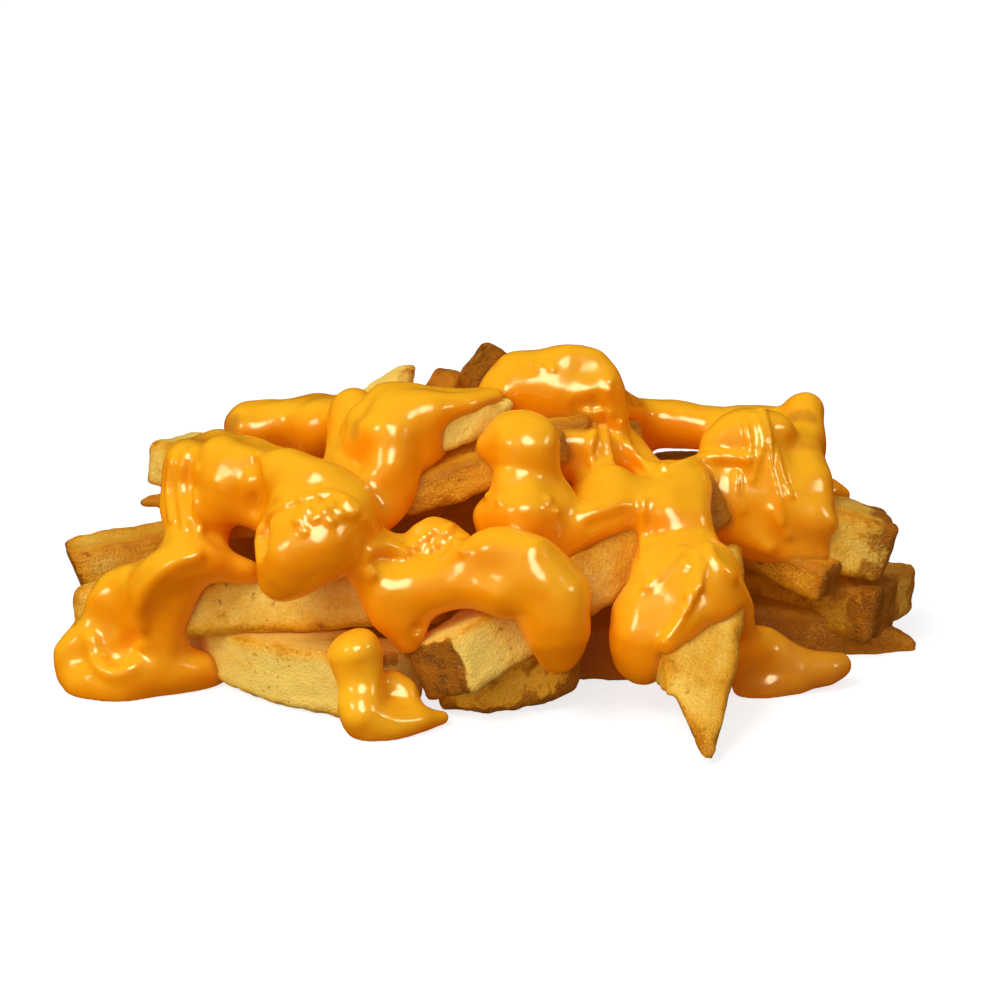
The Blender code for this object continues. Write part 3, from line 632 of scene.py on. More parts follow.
@dataclass(frozen=True)
class PotatoFinish:
    """Fried potato: pale and mealy on its faces, golden at its edges, and brown and blotched on its skin."""

    pale: Colour = (0.86, 0.6, 0.115)
    golden: Colour = (0.72, 0.33, 0.014)
    deep: Colour = (0.36, 0.085, 0.001)
    tan: Colour = (0.52, 0.19, 0.004)
    brown: Colour = (0.33, 0.096, 0.002)
    dark: Colour = (0.095, 0.025, 0.001)
    # Painted shade: the red-brown of the hollows deep inside the heap.
    painted_hollow_shade: Colour = (0.3, 0.034, 0.001)
    roughness: float = 0.48
    # The faint red emission in steady is a painted glow that warms the fries' shaded faces.
    steady: Steady = (
        ("Specular IOR Level", 0.13), ("Emission Color", (0.05, 0.012, 0.0)), ("Emission Strength", 1.0),
        ("Subsurface Weight", 0.15), ("Subsurface Radius", (1.0, 0.4, 0.08)), ("Subsurface Scale", 0.002),
    )

    def material(self) -> bpy.types.Material:
        """Builds the material. It reads the attributes that the fry maker stores."""
        made = bpy.data.materials.new("fried_potato")
        graph = emptied(made)
        spot = graph.node("ShaderNodeAttribute", {"attribute_name": "fibre"}).outputs["Vector"]
        edge, cut, skin, tone = (graph.stored(name) for name in ("edge", "cut", "skin", "tone"))
        along = graph.vectors("MULTIPLY", spot, (0.25, 1.0, 1.0))
        broad = graph.noise(spot, 0.011, 2.0) - 0.5
        mottle = graph.noise(spot, 0.0036, 4.0, 0.62) - 0.5
        fibres = graph.noise(along, 0.0016, 3.0, 0.6) - 0.5
        grain = graph.noise(spot, 0.00045, 2.0, 0.7) - 0.5
        # Tone carries painted shade as well as each fry's own doneness, so high tones darken fries in shade.
        baked_and_shaded = tone + broad * 1.3 + mottle * 1.0 + fibres * 0.6 + grain * 0.9 + edge * 0.6
        colour = graph.mix(baked_and_shaded.step(-0.1, 0.95), self.pale, self.golden)
        colour = graph.mix((baked_and_shaded + cut * 0.2 + grain * 0.5).step(0.85, 1.9), colour, self.deep)
        toast = edge * 0.65 + cut * 0.2 + tone * 0.35 + mottle * 1.8 + broad * 1.0 + grain * 0.4
        colour = graph.mix(toast.step(0.45, 1.1) * 0.8, colour, self.tan)
        # Painted shade: the red-brown of the heap's hollows, for the highest tones.
        colour = graph.mix(tone.step(1.7, 2.1), colour, self.painted_hollow_shade)
        hide = (skin + mottle * 1.9 + broad * 0.9).step(0.25, 0.7)
        blotch = mottle * 1.5 + grain * 0.7 + fibres * 0.4
        skins = graph.mix(blotch.step(-0.3, 0.12), self.dark, self.brown)
        skins = graph.mix(blotch.step(0.1, 0.5) * 0.75, skins, self.tan)
        colour = graph.mix(hide * 0.95, colour, skins)
        where = graph.noise(spot, 0.008, 1.0)
        freckle = graph.noise(spot, 0.0012, 1.0)
        marks = freckle.step(0.63, 0.74) * where.step(0.46, 0.6) * (0.5 + tone * 0.35)
        colour = graph.mix(marks, colour, self.brown)
        height = grain * 0.5 + mottle * 0.7 + fibres * 0.4 + hide * grain * 0.8 - marks * 0.3
        relief = graph.out("ShaderNodeBump", Strength=0.8, Distance=0.0007, Height=height)
        roughness = self.roughness + grain * 0.3 - hide * 0.08
        graph.shade(("Base Color", colour), ("Normal", relief), ("Roughness", roughness), *self.steady)
        return made


@dataclass(frozen=True)
class SauceFinish:
    """Warm cheese sauce: smooth, wet and duller where it lies thin on a fry.

    Its colour holds painted light and shade: faces turned up are painted bright and faces turned away
    deep orange. Its faint emission is a painted glow that stands for the light that spreads inside it and
    comes out red on the faces turned away.
    """

    # Painted light and shade: the first colour is for faces turned away, the second for faces turned up.
    deep: Colour = (0.7, 0.25, 0.001)
    painted_lit: Colour = (0.8, 0.44, 0.012)
    thin_and_shaded: Colour = (0.38, 0.185, 0.012)
    roughness: float = 0.17
    steady: Steady = (
        ("Emission Color", (0.17, 0.016, 0.0)), ("Emission Strength", 1.0), ("Subsurface Weight", 0.4),
        ("Subsurface Radius", (1.0, 0.5, 0.1)), ("Subsurface Scale", 0.002),
    )

    def material(self) -> bpy.types.Material:
        """Builds the material. It reads how thin the sauce lies from an attribute."""
        made = bpy.data.materials.new("cheese_sauce")
        graph = emptied(made)
        spot = graph.node("ShaderNodeTexCoord").outputs["Object"]
        film, rise = graph.stored("film"), graph.stored("rise")
        broad = graph.noise(spot, 0.014, 2.0) - 0.5
        fine = graph.noise(spot, 0.003, 2.0) - 0.5
        # Painted light and shade: faces turned up take the bright colour and faces turned away the deep one.
        colour = graph.mix((rise + broad * 0.5 + fine * 0.15).step(0.42, 0.97), self.deep, self.painted_lit)
        colour = graph.mix((film + fine * 0.5 + broad * 0.3).step(0.3, 0.95) * 0.8, colour, self.thin_and_shaded)
        ripple = graph.noise(spot, 0.0045, 1.0) * 0.7 + graph.noise(spot, 0.0012, 1.0) * 0.12
        relief = graph.out("ShaderNodeBump", Strength=0.3, Distance=0.0006, Height=ripple)
        roughness = self.roughness + fine * 0.08
        graph.shade(("Base Color", colour), ("Normal", relief), ("Roughness", roughness), *self.steady)
        return made


@dataclass(frozen=True)
class FloorFinish:
    """A plain pale surface."""

    steady: Steady = (
        ("Base Color", (0.38, 0.38, 0.38)), ("Roughness", 0.8), ("Specular IOR Level", 0.0),
        ("Emission Color", (0.38, 0.38, 0.38)), ("Emission Strength", 2.0),
    )

    def material(self) -> bpy.types.Material:
        """Builds the material."""
        made = bpy.data.materials.new("pale_surface")
        emptied(made).shade(*self.steady)
        return made


def linked(name: str, data: Any) -> bpy.types.Object:
    """A new object of the scene."""
    made = bpy.data.objects.new(name, data)
    bpy.context.scene.collection.objects.link(made)
    return made


def keep(mesh: bpy.types.Mesh, name: str, values: Any, kind: str = NUMBER) -> None:
    """Stores a number or a vector for each point of a mesh under a name."""
    layer = mesh.attributes.new(name, kind, "POINT")
    layer.data.foreach_set("value" if kind == NUMBER else "vector", values)


def placed(point: Sequence[float]) -> Vector:
    """A point of the tables, in metres from the middle of the heap."""
    return Vector((point[0] - CENTRE[0], point[1] - CENTRE[1], point[2])) * MM


def make_real(thing: bpy.types.Object) -> None:
    """Replaces the object's mesh with what its modifiers make of it, and takes the modifiers off."""
    graph = bpy.context.evaluated_depsgraph_get()
    mesh = bpy.data.meshes.new_from_object(thing.evaluated_get(graph))
    thing.modifiers.clear()
    thing.data = mesh


def triangles(thing: bpy.types.Object) -> int:
    """How many triangles the object's mesh has."""
    thing.data.calc_loop_triangles()
    return len(thing.data.loop_triangles)


@dataclass
class FryMaker:
    """The geometry tree that cuts every fry of a batch from one gridded block, and browns its edges and skin.

    Its sizes are in millimetres.
    """

    material: bpy.types.Material
    corner: float = 1.5
    chips: float = 0.45
    waves: float = 0.6
    seed: float = 3.0
    floor: float = 0.02
    edge_width: float = 3.0
    cut_width: float = 3.5
    cap_fade: tuple[float, float] = (-4.0, 5.0)
    taper_power: float = 4.0
    corner_share: float = 0.9
    slant_band: float = 0.3
    grain_shift: float = 7.0
    wave_size: float = 11.0
    blister_size: float = 2.8
    pit_size: float = 1.7
    chip_size: float = 4.2
    sockets: dict[str, str] = field(default_factory=dict)
    numbers: tuple[str, ...] = (
        "length", "width", "height", "bow", "sweep", "tone", "drift", "skin_all", "tail_cap", "head_cap",
        *(f"{end}_{key}" for end in ("tail", "head") for key in ("size", "side", "rise", "slant", "under")),
    )
    arrows: tuple[str, ...] = ("tail", "axis", "side", "above", "skin_way")

    def tree(self) -> bpy.types.NodeTree:
        """Builds the tree, whose inputs are the batch's points and the sizes of the grid and the relief."""
        made = bpy.data.node_groups.new("fry_maker", "GeometryNodeTree")
        made.interface.new_socket("Geometry", in_out="OUTPUT", socket_type="NodeSocketGeometry")
        made.interface.new_socket("Geometry", in_out="INPUT", socket_type="NodeSocketGeometry")
        for name in ("Steps along", "Steps across", "Corner", "Chips", "Waves", "Seed"):
            kind = "NodeSocketInt" if name.startswith("Steps") else "NodeSocketFloat"
            self.sockets[name] = made.interface.new_socket(name, in_out="INPUT", socket_type=kind).identifier
        graph = Graph(made)
        given = graph.node("NodeGroupInput").outputs
        cut = self.place(graph, given, self.block(graph, given))
        browned = self.brown(graph, self.roughen(graph, given, cut))
        smooth = graph.out("GeometryNodeSetShadeSmooth", Geometry=browned)
        whole = graph.out("GeometryNodeRealizeInstances", Geometry=smooth)
        done = graph.out("GeometryNodeSetMaterial", Geometry=whole, Material=self.material)
        graph.node("NodeGroupOutput", inputs={0: done})
        return made

    def block(self, graph: Graph, given: Any) -> Any:
        """A unit block with a grid on its faces, one at each point of the batch."""
        inputs = {"Size": (1.0, 1.0, 1.0), "Vertices X": given["Steps along"]}
        inputs |= {f"Vertices {axis}": given["Steps across"] for axis in "YZ"}
        cube = graph.node("GeometryNodeMeshCube", inputs=inputs).outputs["Mesh"]
        cube = graph.store(cube, "spot", graph.out("GeometryNodeInputPosition"), VECTOR)
        spread = graph.out("GeometryNodeInstanceOnPoints", Points=given["Geometry"], Instance=cube)
        whole = graph.out("GeometryNodeRealizeInstances", Geometry=spread)
        return graph.out("GeometryNodeFlipFaces", Mesh=whole)

    def place(self, graph: Graph, given: Any, block: Any) -> Any:
        """Gives each block its fry's size, round corners, tapers and bend, and lays it where the fry lies."""
        size = {name: graph.read(name) for name in self.numbers}
        way = {name: graph.read(name, VECTOR) for name in self.arrows}
        x, y, z = graph.parts(graph.read("spot", VECTOR))
        near = {"tail": (0.5 - x) ** self.taper_power, "head": (0.5 + x) ** self.taper_power}
        cuts = {end: near[end] * (1.0 - size[f"{end}_size"]) for end in near}
        share = 1.0 - cuts["tail"] - cuts["head"]
        half_width = size["width"] * share * 0.5
        half_height = size["height"] * share * 0.5
        corner = graph.value(given["Corner"]) / self.corner_share
        cut = half_width.least(half_height).least(corner) * self.corner_share
        flat = [(x * size["length"], size["length"] * 0.5), (y * half_width * 2.0, half_width)]
        flat.append((z * half_height * 2.0, half_height))
        inner = [part.most(cut - half).least(half - cut) for part, half in flat]
        away = graph.vector(*[part - core for (part, _), core in zip(flat, inner)])
        round_off = graph.scaled(graph.vectors("NORMALIZE", away), cut)
        px, py, pz = graph.parts(graph.vectors("ADD", graph.vector(*inner), round_off))
        arch = (0.5 - x) * (0.5 + x) * 4.0
        aslant = y.most(-self.slant_band).least(self.slant_band) * 1.5
        for key, shift in (("slant", aslant), ("under", z)):
            px = px + (size[f"head_{key}"] * near["head"] - size[f"tail_{key}"] * near["tail"]) * shift
        lean, lift = (
            (size[f"tail_{key}"] * cuts["tail"] + size[f"head_{key}"] * cuts["head"]) * size[across] * 0.5
            for key, across in (("side", "width"), ("rise", "height"))
        )
        py = py + lean + arch * size["sweep"]
        pz = pz + lift + arch * size["bow"]
        total = way["tail"]
        for name, part in (("axis", px + size["length"] * 0.5), ("side", py), ("above", pz)):
            total = graph.vectors("ADD", total, graph.scaled(way[name], part))
        grain = graph.vectors("ADD", graph.vector(px, py, pz), graph.scaled(way["tail"], self.grain_shift))
        block = graph.store(block, "fibre", grain, VECTOR)
        ends = (0.5 - abs(x)) * size["length"]
        sides = (0.5 - abs(y)) * size["width"] * share
        tops = (0.5 - abs(z)) * size["height"] * share
        nearest = ends.least(sides).least(tops)
        farthest = ends.most(sides).most(tops)
        rim = ends + sides + tops - nearest - farthest
        capped = size["tail_cap"] - size["length"] * (0.5 + x)
        capped = capped.most(size["head_cap"] - size["length"] * (0.5 - x))
        marks = {"edge": rim.step(self.edge_width * MM, 0.0), "cut": ends.step(self.cut_width * MM, 0.0)}
        marks["cap"] = capped.step(*(edge * MM for edge in self.cap_fade))
        marks["tone"] = size["tone"] + size["drift"] * (x + 0.5)
        for name, value in marks.items():
            block = graph.store(block, name, value)
        return graph.out("GeometryNodeSetPosition", Geometry=block, Position=total)

    def roughen(self, graph: Graph, given: Any, geometry: Any) -> Any:
        """Pushes the surface in and out: slow waves, small blisters, and chips along the edges."""
        shift = graph.vector(given["Seed"], given["Seed"], 0.0)
        spot = graph.vectors("ADD", graph.read("fibre", VECTOR), shift)
        waves = (graph.noise(spot, self.wave_size * MM, 1.0) - 0.5) * 2.2 * graph.value(given["Waves"])
        blisters = (graph.noise(spot, self.blister_size * MM, 2.0, 0.6) - 0.5) * 1.1
        pits = (graph.noise(spot, self.pit_size * MM, 0.0) - 0.62).most(0.0) * 2.4
        chips = (graph.noise(spot, self.chip_size * MM, 1.0) - 0.45) * graph.read("edge") * 3.2
        push = waves + (blisters - pits - chips) * graph.value(given["Chips"])
        offset = graph.scaled(graph.out("GeometryNodeInputNormal"), push * MM)
        moved = graph.out("GeometryNodeSetPosition", Geometry=geometry, Offset=offset)
        x, y, z = graph.parts(graph.out("GeometryNodeInputPosition"))
        above = graph.vector(x, y, z.most(self.floor * MM))
        return graph.out("GeometryNodeSetPosition", Geometry=moved, Position=above)

    def brown(self, graph: Graph, geometry: Any) -> Any:
        """Marks the faces that keep their skin."""
        way = graph.read("skin_way", VECTOR)
        normal = graph.out("GeometryNodeInputNormal")
        facing = graph.value(graph.vectors("DOT_PRODUCT", normal, way, output=1))
        skin = facing.step(0.3, 0.8).most(graph.read("skin_all")).most(graph.read("cap") * 0.8)
        return graph.store(geometry, "skin", skin)

    def batch(self, name: str, fries: Sequence[Fry], steps: tuple[int, int]) -> bpy.types.Object:
        """Makes one object of several fries.

        Args:
            name: the object's name.
            fries: the fries in it.
            steps: the points of the cutting grid along a fry and across it.

        Returns:
            A mesh object whose modifier has been made real.
        """
        mesh = bpy.data.meshes.new(name)
        mesh.from_pydata([placed(fry.tail) for fry in fries], [], [])
        rows = [self.row(fry) for fry in fries]
        for key in self.numbers:
            keep(mesh, key, [row[key] for row in rows])
        for key in self.arrows:
            keep(mesh, key, [number for row in rows for number in row[key]], VECTOR)
        made = linked(name, mesh)
        cutter = made.modifiers.new("cut", "NODES")
        cutter.node_group = bpy.data.node_groups.get("fry_maker") or self.tree()
        sizes = {"Steps along": steps[0], "Steps across": steps[1], "Corner": self.corner * MM}
        sizes |= {"Chips": self.chips, "Waves": self.waves, "Seed": self.seed}
        for key, value in sizes.items():
            cutter[self.sockets[key]] = value
        make_real(made)
        spent = set(self.numbers + self.arrows + ("spot", "cap")) - {"tone"}
        for layer in [a.name for a in made.data.attributes if a.name in spent]:
            made.data.attributes.remove(made.data.attributes[layer])
        return made

    def row(self, fry: Fry) -> dict[str, Any]:
        """The numbers and directions of one fry, in metres."""
        axis, side, above, length = fry.axes()
        x, y, z, everywhere, tail_cap, head_cap = fry.skin.value
        sizes = {"length": length, "tail_cap": tail_cap, "head_cap": head_cap}
        sizes |= {key: getattr(fry, key) for key in ("width", "height", "bow", "sweep")}
        row = {"tone": fry.tone, "drift": fry.drift, "skin_all": everywhere, "tail": placed(fry.tail)}
        row |= {"axis": axis, "side": side, "above": above, "skin_way": axis * x + side * y + above * z}
        for name, end in (("tail", fry.tail_end), ("head", fry.head_end)):
            row |= {f"{name}_{key}": getattr(end, key) for key in ("size", "side", "rise")}
            sizes |= {f"{name}_{key}": getattr(end, key) for key in ("slant", "under")}
        return row | {key: value * MM for key, value in sizes.items()}


@dataclass
class FryHeap:
    """The fries, cut in batches so that each piece stays light, round the core of the heap."""

    finish: PotatoFinish = field(default_factory=PotatoFinish)
    centre: Point = (-4.0, 15.0, 0.0)
    radii: Point = (50.0, 20.0, 30.0)
    foot: float = 0.3
    lumps: float = 0.07
    lump_scale: float = 4.0
    # The core's high tone paints it in the red-brown shade of the hollows.
    core_shade_tone: float = 2.2
    front: tuple[str, ...] = (
        "floor_left", "floor_front", "floor_right", "front_tip", "front_long", "left_long", "left_back",
        "right_end_low", "right_end_back", "right_end_high", "right_under", "left_top", "tip_up", "pale_tip",
        "skin_large", "middle_high", "under_bridge",
    )

    def build(self) -> list[bpy.types.Object]:
        """Makes the pieces, which stand for the fused heap."""
        maker = FryMaker(self.finish.material())
        near = [FRIES[name] for name in self.front]
        behind = [fry for name, fry in FRIES.items() if name not in self.front]
        return [
            maker.batch("fries_front", near, ((72, 18))),
            maker.batch("fries_behind", behind, ((56, 14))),
            self.core(maker.material),
        ]

    def core(self, material: bpy.types.Material) -> bpy.types.Object:
        """The mound of broken fries deep inside the heap, which closes the gaps between those that show."""
        work = bmesh.new()
        bmesh.ops.create_icosphere(work, subdivisions=5, radius=1.0)
        for point in work.verts:
            lump = 1.0 + self.lumps * noise.noise(point.co * self.lump_scale)
            x, y, z = (c + r * lump * part for c, r, part in zip(self.centre, self.radii, point.co))
            point.co = placed((x, y, max(z, self.foot)))
        mesh = bpy.data.meshes.new("core")
        work.to_mesh(mesh)
        work.free()
        mesh.shade_smooth()
        keep(mesh, "fibre", [number for point in mesh.vertices for number in point.co], VECTOR)
        for name, value in (("edge", 0.0), ("cut", 0.0), ("skin", 0.0), ("tone", self.core_shade_tone)):
            keep(mesh, name, [value] * len(mesh.vertices))
        mesh.materials.append(material)
        return linked("core", mesh)


@dataclass
class PourField:
    """How far each point of a grid is from the sauce's surface, in millimetres; it is negative inside."""

    low: Point
    high: Point
    spacing: float
    far: float = 12.0
    reach_share: float = 0.6
    bead_step: float = 2.0
    sight_step: float = 5.0
    sight_start: float = 330.0
    smallest: float = 8.0
    values: np.ndarray = field(init=False)

    def __post_init__(self) -> None:
        """Starts with no sauce anywhere."""
        counts = [int((high - low) / self.spacing) + 2 for low, high in zip(self.low, self.high)]
        self.values = np.full(counts, self.far, np.float32)

    def window(self, balls: Sequence[Bead], reach: float) -> tuple[Part, list[np.ndarray]]:
        """The part of the grid round some balls.

        Args:
            balls: the balls.
            reach: how far the part goes past them, in millimetres.

        Returns:
            Its slices, and the coordinates of its points along each axis, shaped to broadcast.
        """
        slices, lines = [], []
        for i, (base, count) in enumerate(zip(self.low, self.values.shape)):
            low = min(ball[i] - ball[3] for ball in balls) - reach
            high = max(ball[i] + ball[3] for ball in balls) + reach
            start = max(0, int((low - base) / self.spacing))
            stop = max(start, min(count, int((high - base) / self.spacing) + 2))
            slices.append(slice(start, stop))
            line = base + self.spacing * np.arange(start, stop, dtype=np.float32)
            lines.append(line.reshape([-1 if i == j else 1 for j in range(3)]))
        return tuple(slices), lines

    def merge(self, part: Part, distance: np.ndarray, blend: float, dent: bool = False) -> None:
        """Adds a form or presses it in.

        Args:
            part: the part of the grid.
            distance: the distance from the form there.
            blend: over how many millimetres it flows into what is there.
            dent: whether the form is taken away.
        """
        sign = -1.0 if dent else 1.0
        there = self.values[part] * sign
        near = np.maximum(blend - np.abs(there - distance), 0.0) / max(blend, 1e-6)
        self.values[part] = (np.minimum(there, distance) - near * near * blend * 0.25) * sign

    def strand_distance(self, beads: Sequence[Bead]) -> tuple[Part, np.ndarray]:
        """The distance from a strand through the beads, in the window that it needs."""
        reach = self.far * self.reach_share
        path = smooth_path(beads, self.bead_step)
        part, _ = self.window(path, reach)
        found = np.full([s.stop - s.start for s in part], self.far, np.float32)
        for first, second in zip(path, path[1:]):
            inner, (x, y, z) = self.window((first, second), reach)
            run = [second[i] - first[i] for i in range(3)]
            square = sum(r * r for r in run) + 1e-9
            dx, dy, dz = x - first[0], y - first[1], z - first[2]
            t = np.clip((dx * run[0] + dy * run[1] + dz * run[2]) / square, 0.0, 1.0)
            gap = np.sqrt((dx - t * run[0]) ** 2 + (dy - t * run[1]) ** 2 + (dz - t * run[2]) ** 2)
            gap -= first[3] + t * (second[3] - first[3])
            local = tuple(slice(a.start - b.start, a.stop - b.start) for a, b in zip(inner, part))
            found[local] = np.minimum(found[local], gap)
        return part, found

    def strand(self, run: Run) -> None:
        """Pours one strand."""
        self.merge(*self.strand_distance(run.beads), run.blend)

    def seen_strand(self, run: Run) -> None:
        """Pours one strand whose beads are places of the front view with their depth."""
        beads = tuple((*VIEW.at_depth(*bead[:3]), bead[3]) for bead in run.beads)
        self.strand(Run(beads, run.blend))

    def sample(self, points: np.ndarray) -> np.ndarray:
        """The distances at points given as rows of x, y and z, worked out between the grid's points."""
        place = (points - np.array(self.low)) / self.spacing
        inside = np.all((place >= 0) & (place < np.array(self.values.shape) - 1.001), axis=1)
        place = np.clip(place, 0, np.array(self.values.shape) - 1.001)
        base = place.astype(int)
        part = place - base
        total = np.zeros(len(points))
        for corner in np.ndindex(2, 2, 2):
            weight = np.prod(np.where(np.array(corner) == 1, part, 1 - part), axis=1)
            total += weight * self.values[tuple((base + np.array(corner)).T)]
        return np.where(inside, total, self.far)

    def touch(self, places: Sequence[Place], strides: int = 90, near: float = 0.05) -> list[Vector | None]:
        """Where the lines of sight of places of the front view meet the sauce.

        Args:
            places: the places.
            strides: how many strides each line takes towards the sauce.
            near: how near to the sauce it stops, in millimetres.

        Returns:
            A point for each place, or None where its line misses the sauce.
        """
        eye = np.array(VIEW.eye())
        ways = np.array([VIEW.way(*place) for place in places])
        gone = np.full(len(places), self.sight_start)
        for _ in range(strides):
            distance = self.sample(eye + ways * gone[:, None])
            gone += np.where(distance > near, np.maximum(distance * 0.6, near * 2.0), 0.0)
        ends = eye + ways * gone[:, None]
        met = self.sample(ends) < near * 6.0
        return [Vector(end) if hit else None for end, hit in zip(ends, met)]

    def mark(self, mark: Mark, dent: bool = False, gap: float = 4.0) -> None:
        """Lays a mark on the sauce, or presses it in.

        Args:
            mark: the mark.
            dent: whether it is pressed in.
            gap: how far apart, in millimetres, two of its points have to lie to break its line.
        """
        beads = tuple((*place, 0.0, 0.0) for place in mark.path)
        fine = smooth_path(beads, self.sight_step) if len(beads) > 1 else list(beads)
        chain: list[list[Bead]] = [[]]
        for spot in self.touch([(bead[0], bead[1]) for bead in fine]):
            if spot is None or (chain[-1] and (spot - Vector(chain[-1][-1][:3])).length > gap):
                chain.append([])
            if spot is not None:
                out = (VIEW.eye() - spot).normalized() * mark.lift
                chain[-1].append((*(spot + out), mark.radius))
        for beads in chain:
            if beads:
                place, distance = self.strand_distance(beads if len(beads) > 1 else beads * 2)
                self.merge(place, distance, mark.blend, dent)

    def coat(self, coat: Coat, blend: float = 3.0, rounding: float = 5.5) -> None:
        """Wraps a stretch of a fry."""
        fry = FRIES[coat.fry]
        rounding = min(rounding, min(fry.width, fry.height) / 2 + coat.thickness, 2.4 * coat.thickness + 1.0)
        reach = self.far * self.reach_share + coat.thickness + max(fry.width, fry.height)
        part, lines = self.window(((*fry.tail, 0.0), (*fry.head, 0.0)), reach)
        distance = fry_distance(fry, lines, coat.start, coat.end, coat.thickness, rounding)
        self.merge(part, distance, blend)

    def soften(self, passes: int) -> None:
        """Evens out creases by averaging each point with its neighbours."""
        for _ in range(passes):
            for axis in range(3):
                padded = np.pad(self.values, [(1, 1) if i == axis else (0, 0) for i in range(3)], "edge")
                count = self.values.shape[axis]
                before = padded.take(range(0, count), axis)
                after = padded.take(range(2, count + 2), axis)
                self.values = self.values * 0.5 + (before + after) * 0.25

    def ripple(self, size: float, depth: float, seed: int, waves: int = 18, band: float = 2.5) -> None:
        """Makes the surface uneven with soft waves.

        Args:
            size: about how long the waves are, in millimetres.
            depth: how deep they are, in millimetres.
            seed: the start of the random numbers.
            waves: how many waves are laid over each other.
            band: how far from the surface they reach, in millimetres.
        """
        chosen = np.nonzero(np.abs(self.values) < band)
        spots = np.stack(chosen, 1).astype(np.float32) * self.spacing
        rng = np.random.default_rng(seed)
        total = np.zeros(len(spots), np.float32)
        for _ in range(waves):
            way = rng.normal(size=3)
            way *= 2 * math.pi / (size * rng.uniform(0.75, 1.5)) / np.linalg.norm(way)
            total += np.sin(spots @ way.astype(np.float32) + rng.uniform(0, 2 * math.pi))
        self.values[chosen] += total * depth / math.sqrt(waves / 2)

    def mesh(self, name: str) -> bpy.types.Mesh:
        """The sauce's surface as a mesh, with its bodies of less than a few cubic millimetres dropped."""
        self.values[:, :, 0] = np.maximum(self.values[:, :, 0], self.spacing)
        grid = openvdb.FloatGrid(self.far)
        grid.copyFromArray(self.values)
        points, quads = grid.convertToQuads(isovalue=0.0)
        points = points * self.spacing + np.array(self.low) - np.array((*CENTRE, 0.0))
        if cone_volumes(points, quads).sum() < 0:
            quads = quads[:, ::-1]
        points, quads = whole_bodies(points, quads, self.smallest)
        made = bpy.data.meshes.new(name)
        made.from_pydata((points * MM).tolist(), [], quads.tolist())
        made.shade_smooth()
        return made


def cone_volumes(points: np.ndarray, quads: np.ndarray) -> np.ndarray:
    """The signed volume between the origin and each quad; together they are the volume inside."""
    a, b, c, d = (points[corner] for corner in quads.T)
    return np.einsum("ij,ij->i", a, np.cross(b, c) + np.cross(c, d)) / 6.0


def whole_bodies(points: np.ndarray, quads: np.ndarray, least: float) -> tuple[np.ndarray, np.ndarray]:
    """Drops the small bodies of a closed surface, and the hollows inside it.

    Args:
        points: the surface's points, in millimetres.
        quads: the points of each of its faces.
        least: the volume in cubic millimetres that a body has to have.

    Returns:
        The points and the faces that are kept.
    """
    label = np.arange(len(points))
    settled = False
    while not settled:
        lowest = label[quads].min(axis=1)
        spread = label.copy()
        for corner in quads.T:
            np.minimum.at(spread, corner, lowest)
        spread = spread[spread]
        settled = np.array_equal(spread, label)
        label = spread
    size = np.bincount(label[quads[:, 0]], weights=cone_volumes(points, quads), minlength=len(points))
    LOG.info("bodies of sauce: %s", ", ".join(f"{v:.0f}" for v in sorted(size[size != 0.0])[::-1][:12]))
    kept = size[label] > least
    place = np.cumsum(kept) - 1
    return points[kept], place[quads[kept[quads[:, 0]]]]


def smooth_path(points: Sequence[Bead], spacing: float) -> list[Bead]:
    """Points along a Catmull-Rom curve through the beads, with the radius carried along."""
    ends = [points[0], *points, points[-1]]
    made: list[Bead] = []
    for before, first, second, after in zip(ends, ends[1:], ends[2:], ends[3:]):
        steps = max(1, math.ceil(math.dist(first[:3], second[:3]) / spacing))
        for step in range(steps):
            t = step / steps
            weights = (
                -0.5 * t + t**2 - 0.5 * t**3,
                1 - 2.5 * t**2 + 1.5 * t**3,
                0.5 * t + 2 * t**2 - 1.5 * t**3,
                -0.5 * t**2 + 0.5 * t**3,
            )
            near = (before, first, second, after)
            made.append(tuple(sum(w * p[i] for w, p in zip(weights, near)) for i in range(4)))
    made.append(tuple(points[-1]))
    return made


def fry_distance(
    fry: Fry,
    lines: Sequence[np.ndarray],
    start: float = 0.0,
    end: float = 1.0,
    grow: float = 0.0,
    rounding: float = 1.5,
) -> np.ndarray:
    """The distance from a stretch of a fry, grown on every side.

    Args:
        fry: the fry.
        lines: the x, y and z of the points, as arrays that broadcast.
        start: where the stretch starts, as a share of the fry's length.
        end: where it ends.
        grow: how much thicker the form is than the fry, in millimetres.
        rounding: the radius of its corners, in millimetres.

    Returns:
        The distances in millimetres.
    """
    axis, side, above, length = fry.axes()
    offset = [line - start_at for line, start_at in zip(lines, fry.tail)]
    u, v, w = (sum(o * a for o, a in zip(offset, way)) for way in (axis, side, above))
    t = np.clip(u / length, 0.0, 1.0)
    arch = 4 * t * (1 - t)
    tail_cut = (1 - t) ** 4 * (1 - fry.tail_end.size)
    head_cut = t**4 * (1 - fry.head_end.size)
    share = 1 - tail_cut - head_cut
    lean = (fry.tail_end.side * tail_cut + fry.head_end.side * head_cut) * fry.width / 2
    lift = (fry.tail_end.rise * tail_cut + fry.head_end.rise * head_cut) * fry.height / 2
    middle, half = length * (start + end) / 2, length * (end - start) / 2 + grow
    a = np.abs(u - middle) - (half - rounding)
    b = np.abs(v - lean - arch * fry.sweep) - (fry.width / 2 * share + grow - rounding)
    c = np.abs(w - lift - arch * fry.bow) - (fry.height / 2 * share + grow - rounding)
    outside = np.sqrt(np.maximum(a, 0) ** 2 + np.maximum(b, 0) ** 2 + np.maximum(c, 0) ** 2)
    return outside + np.minimum(np.maximum(a, np.maximum(b, c)), 0) - rounding


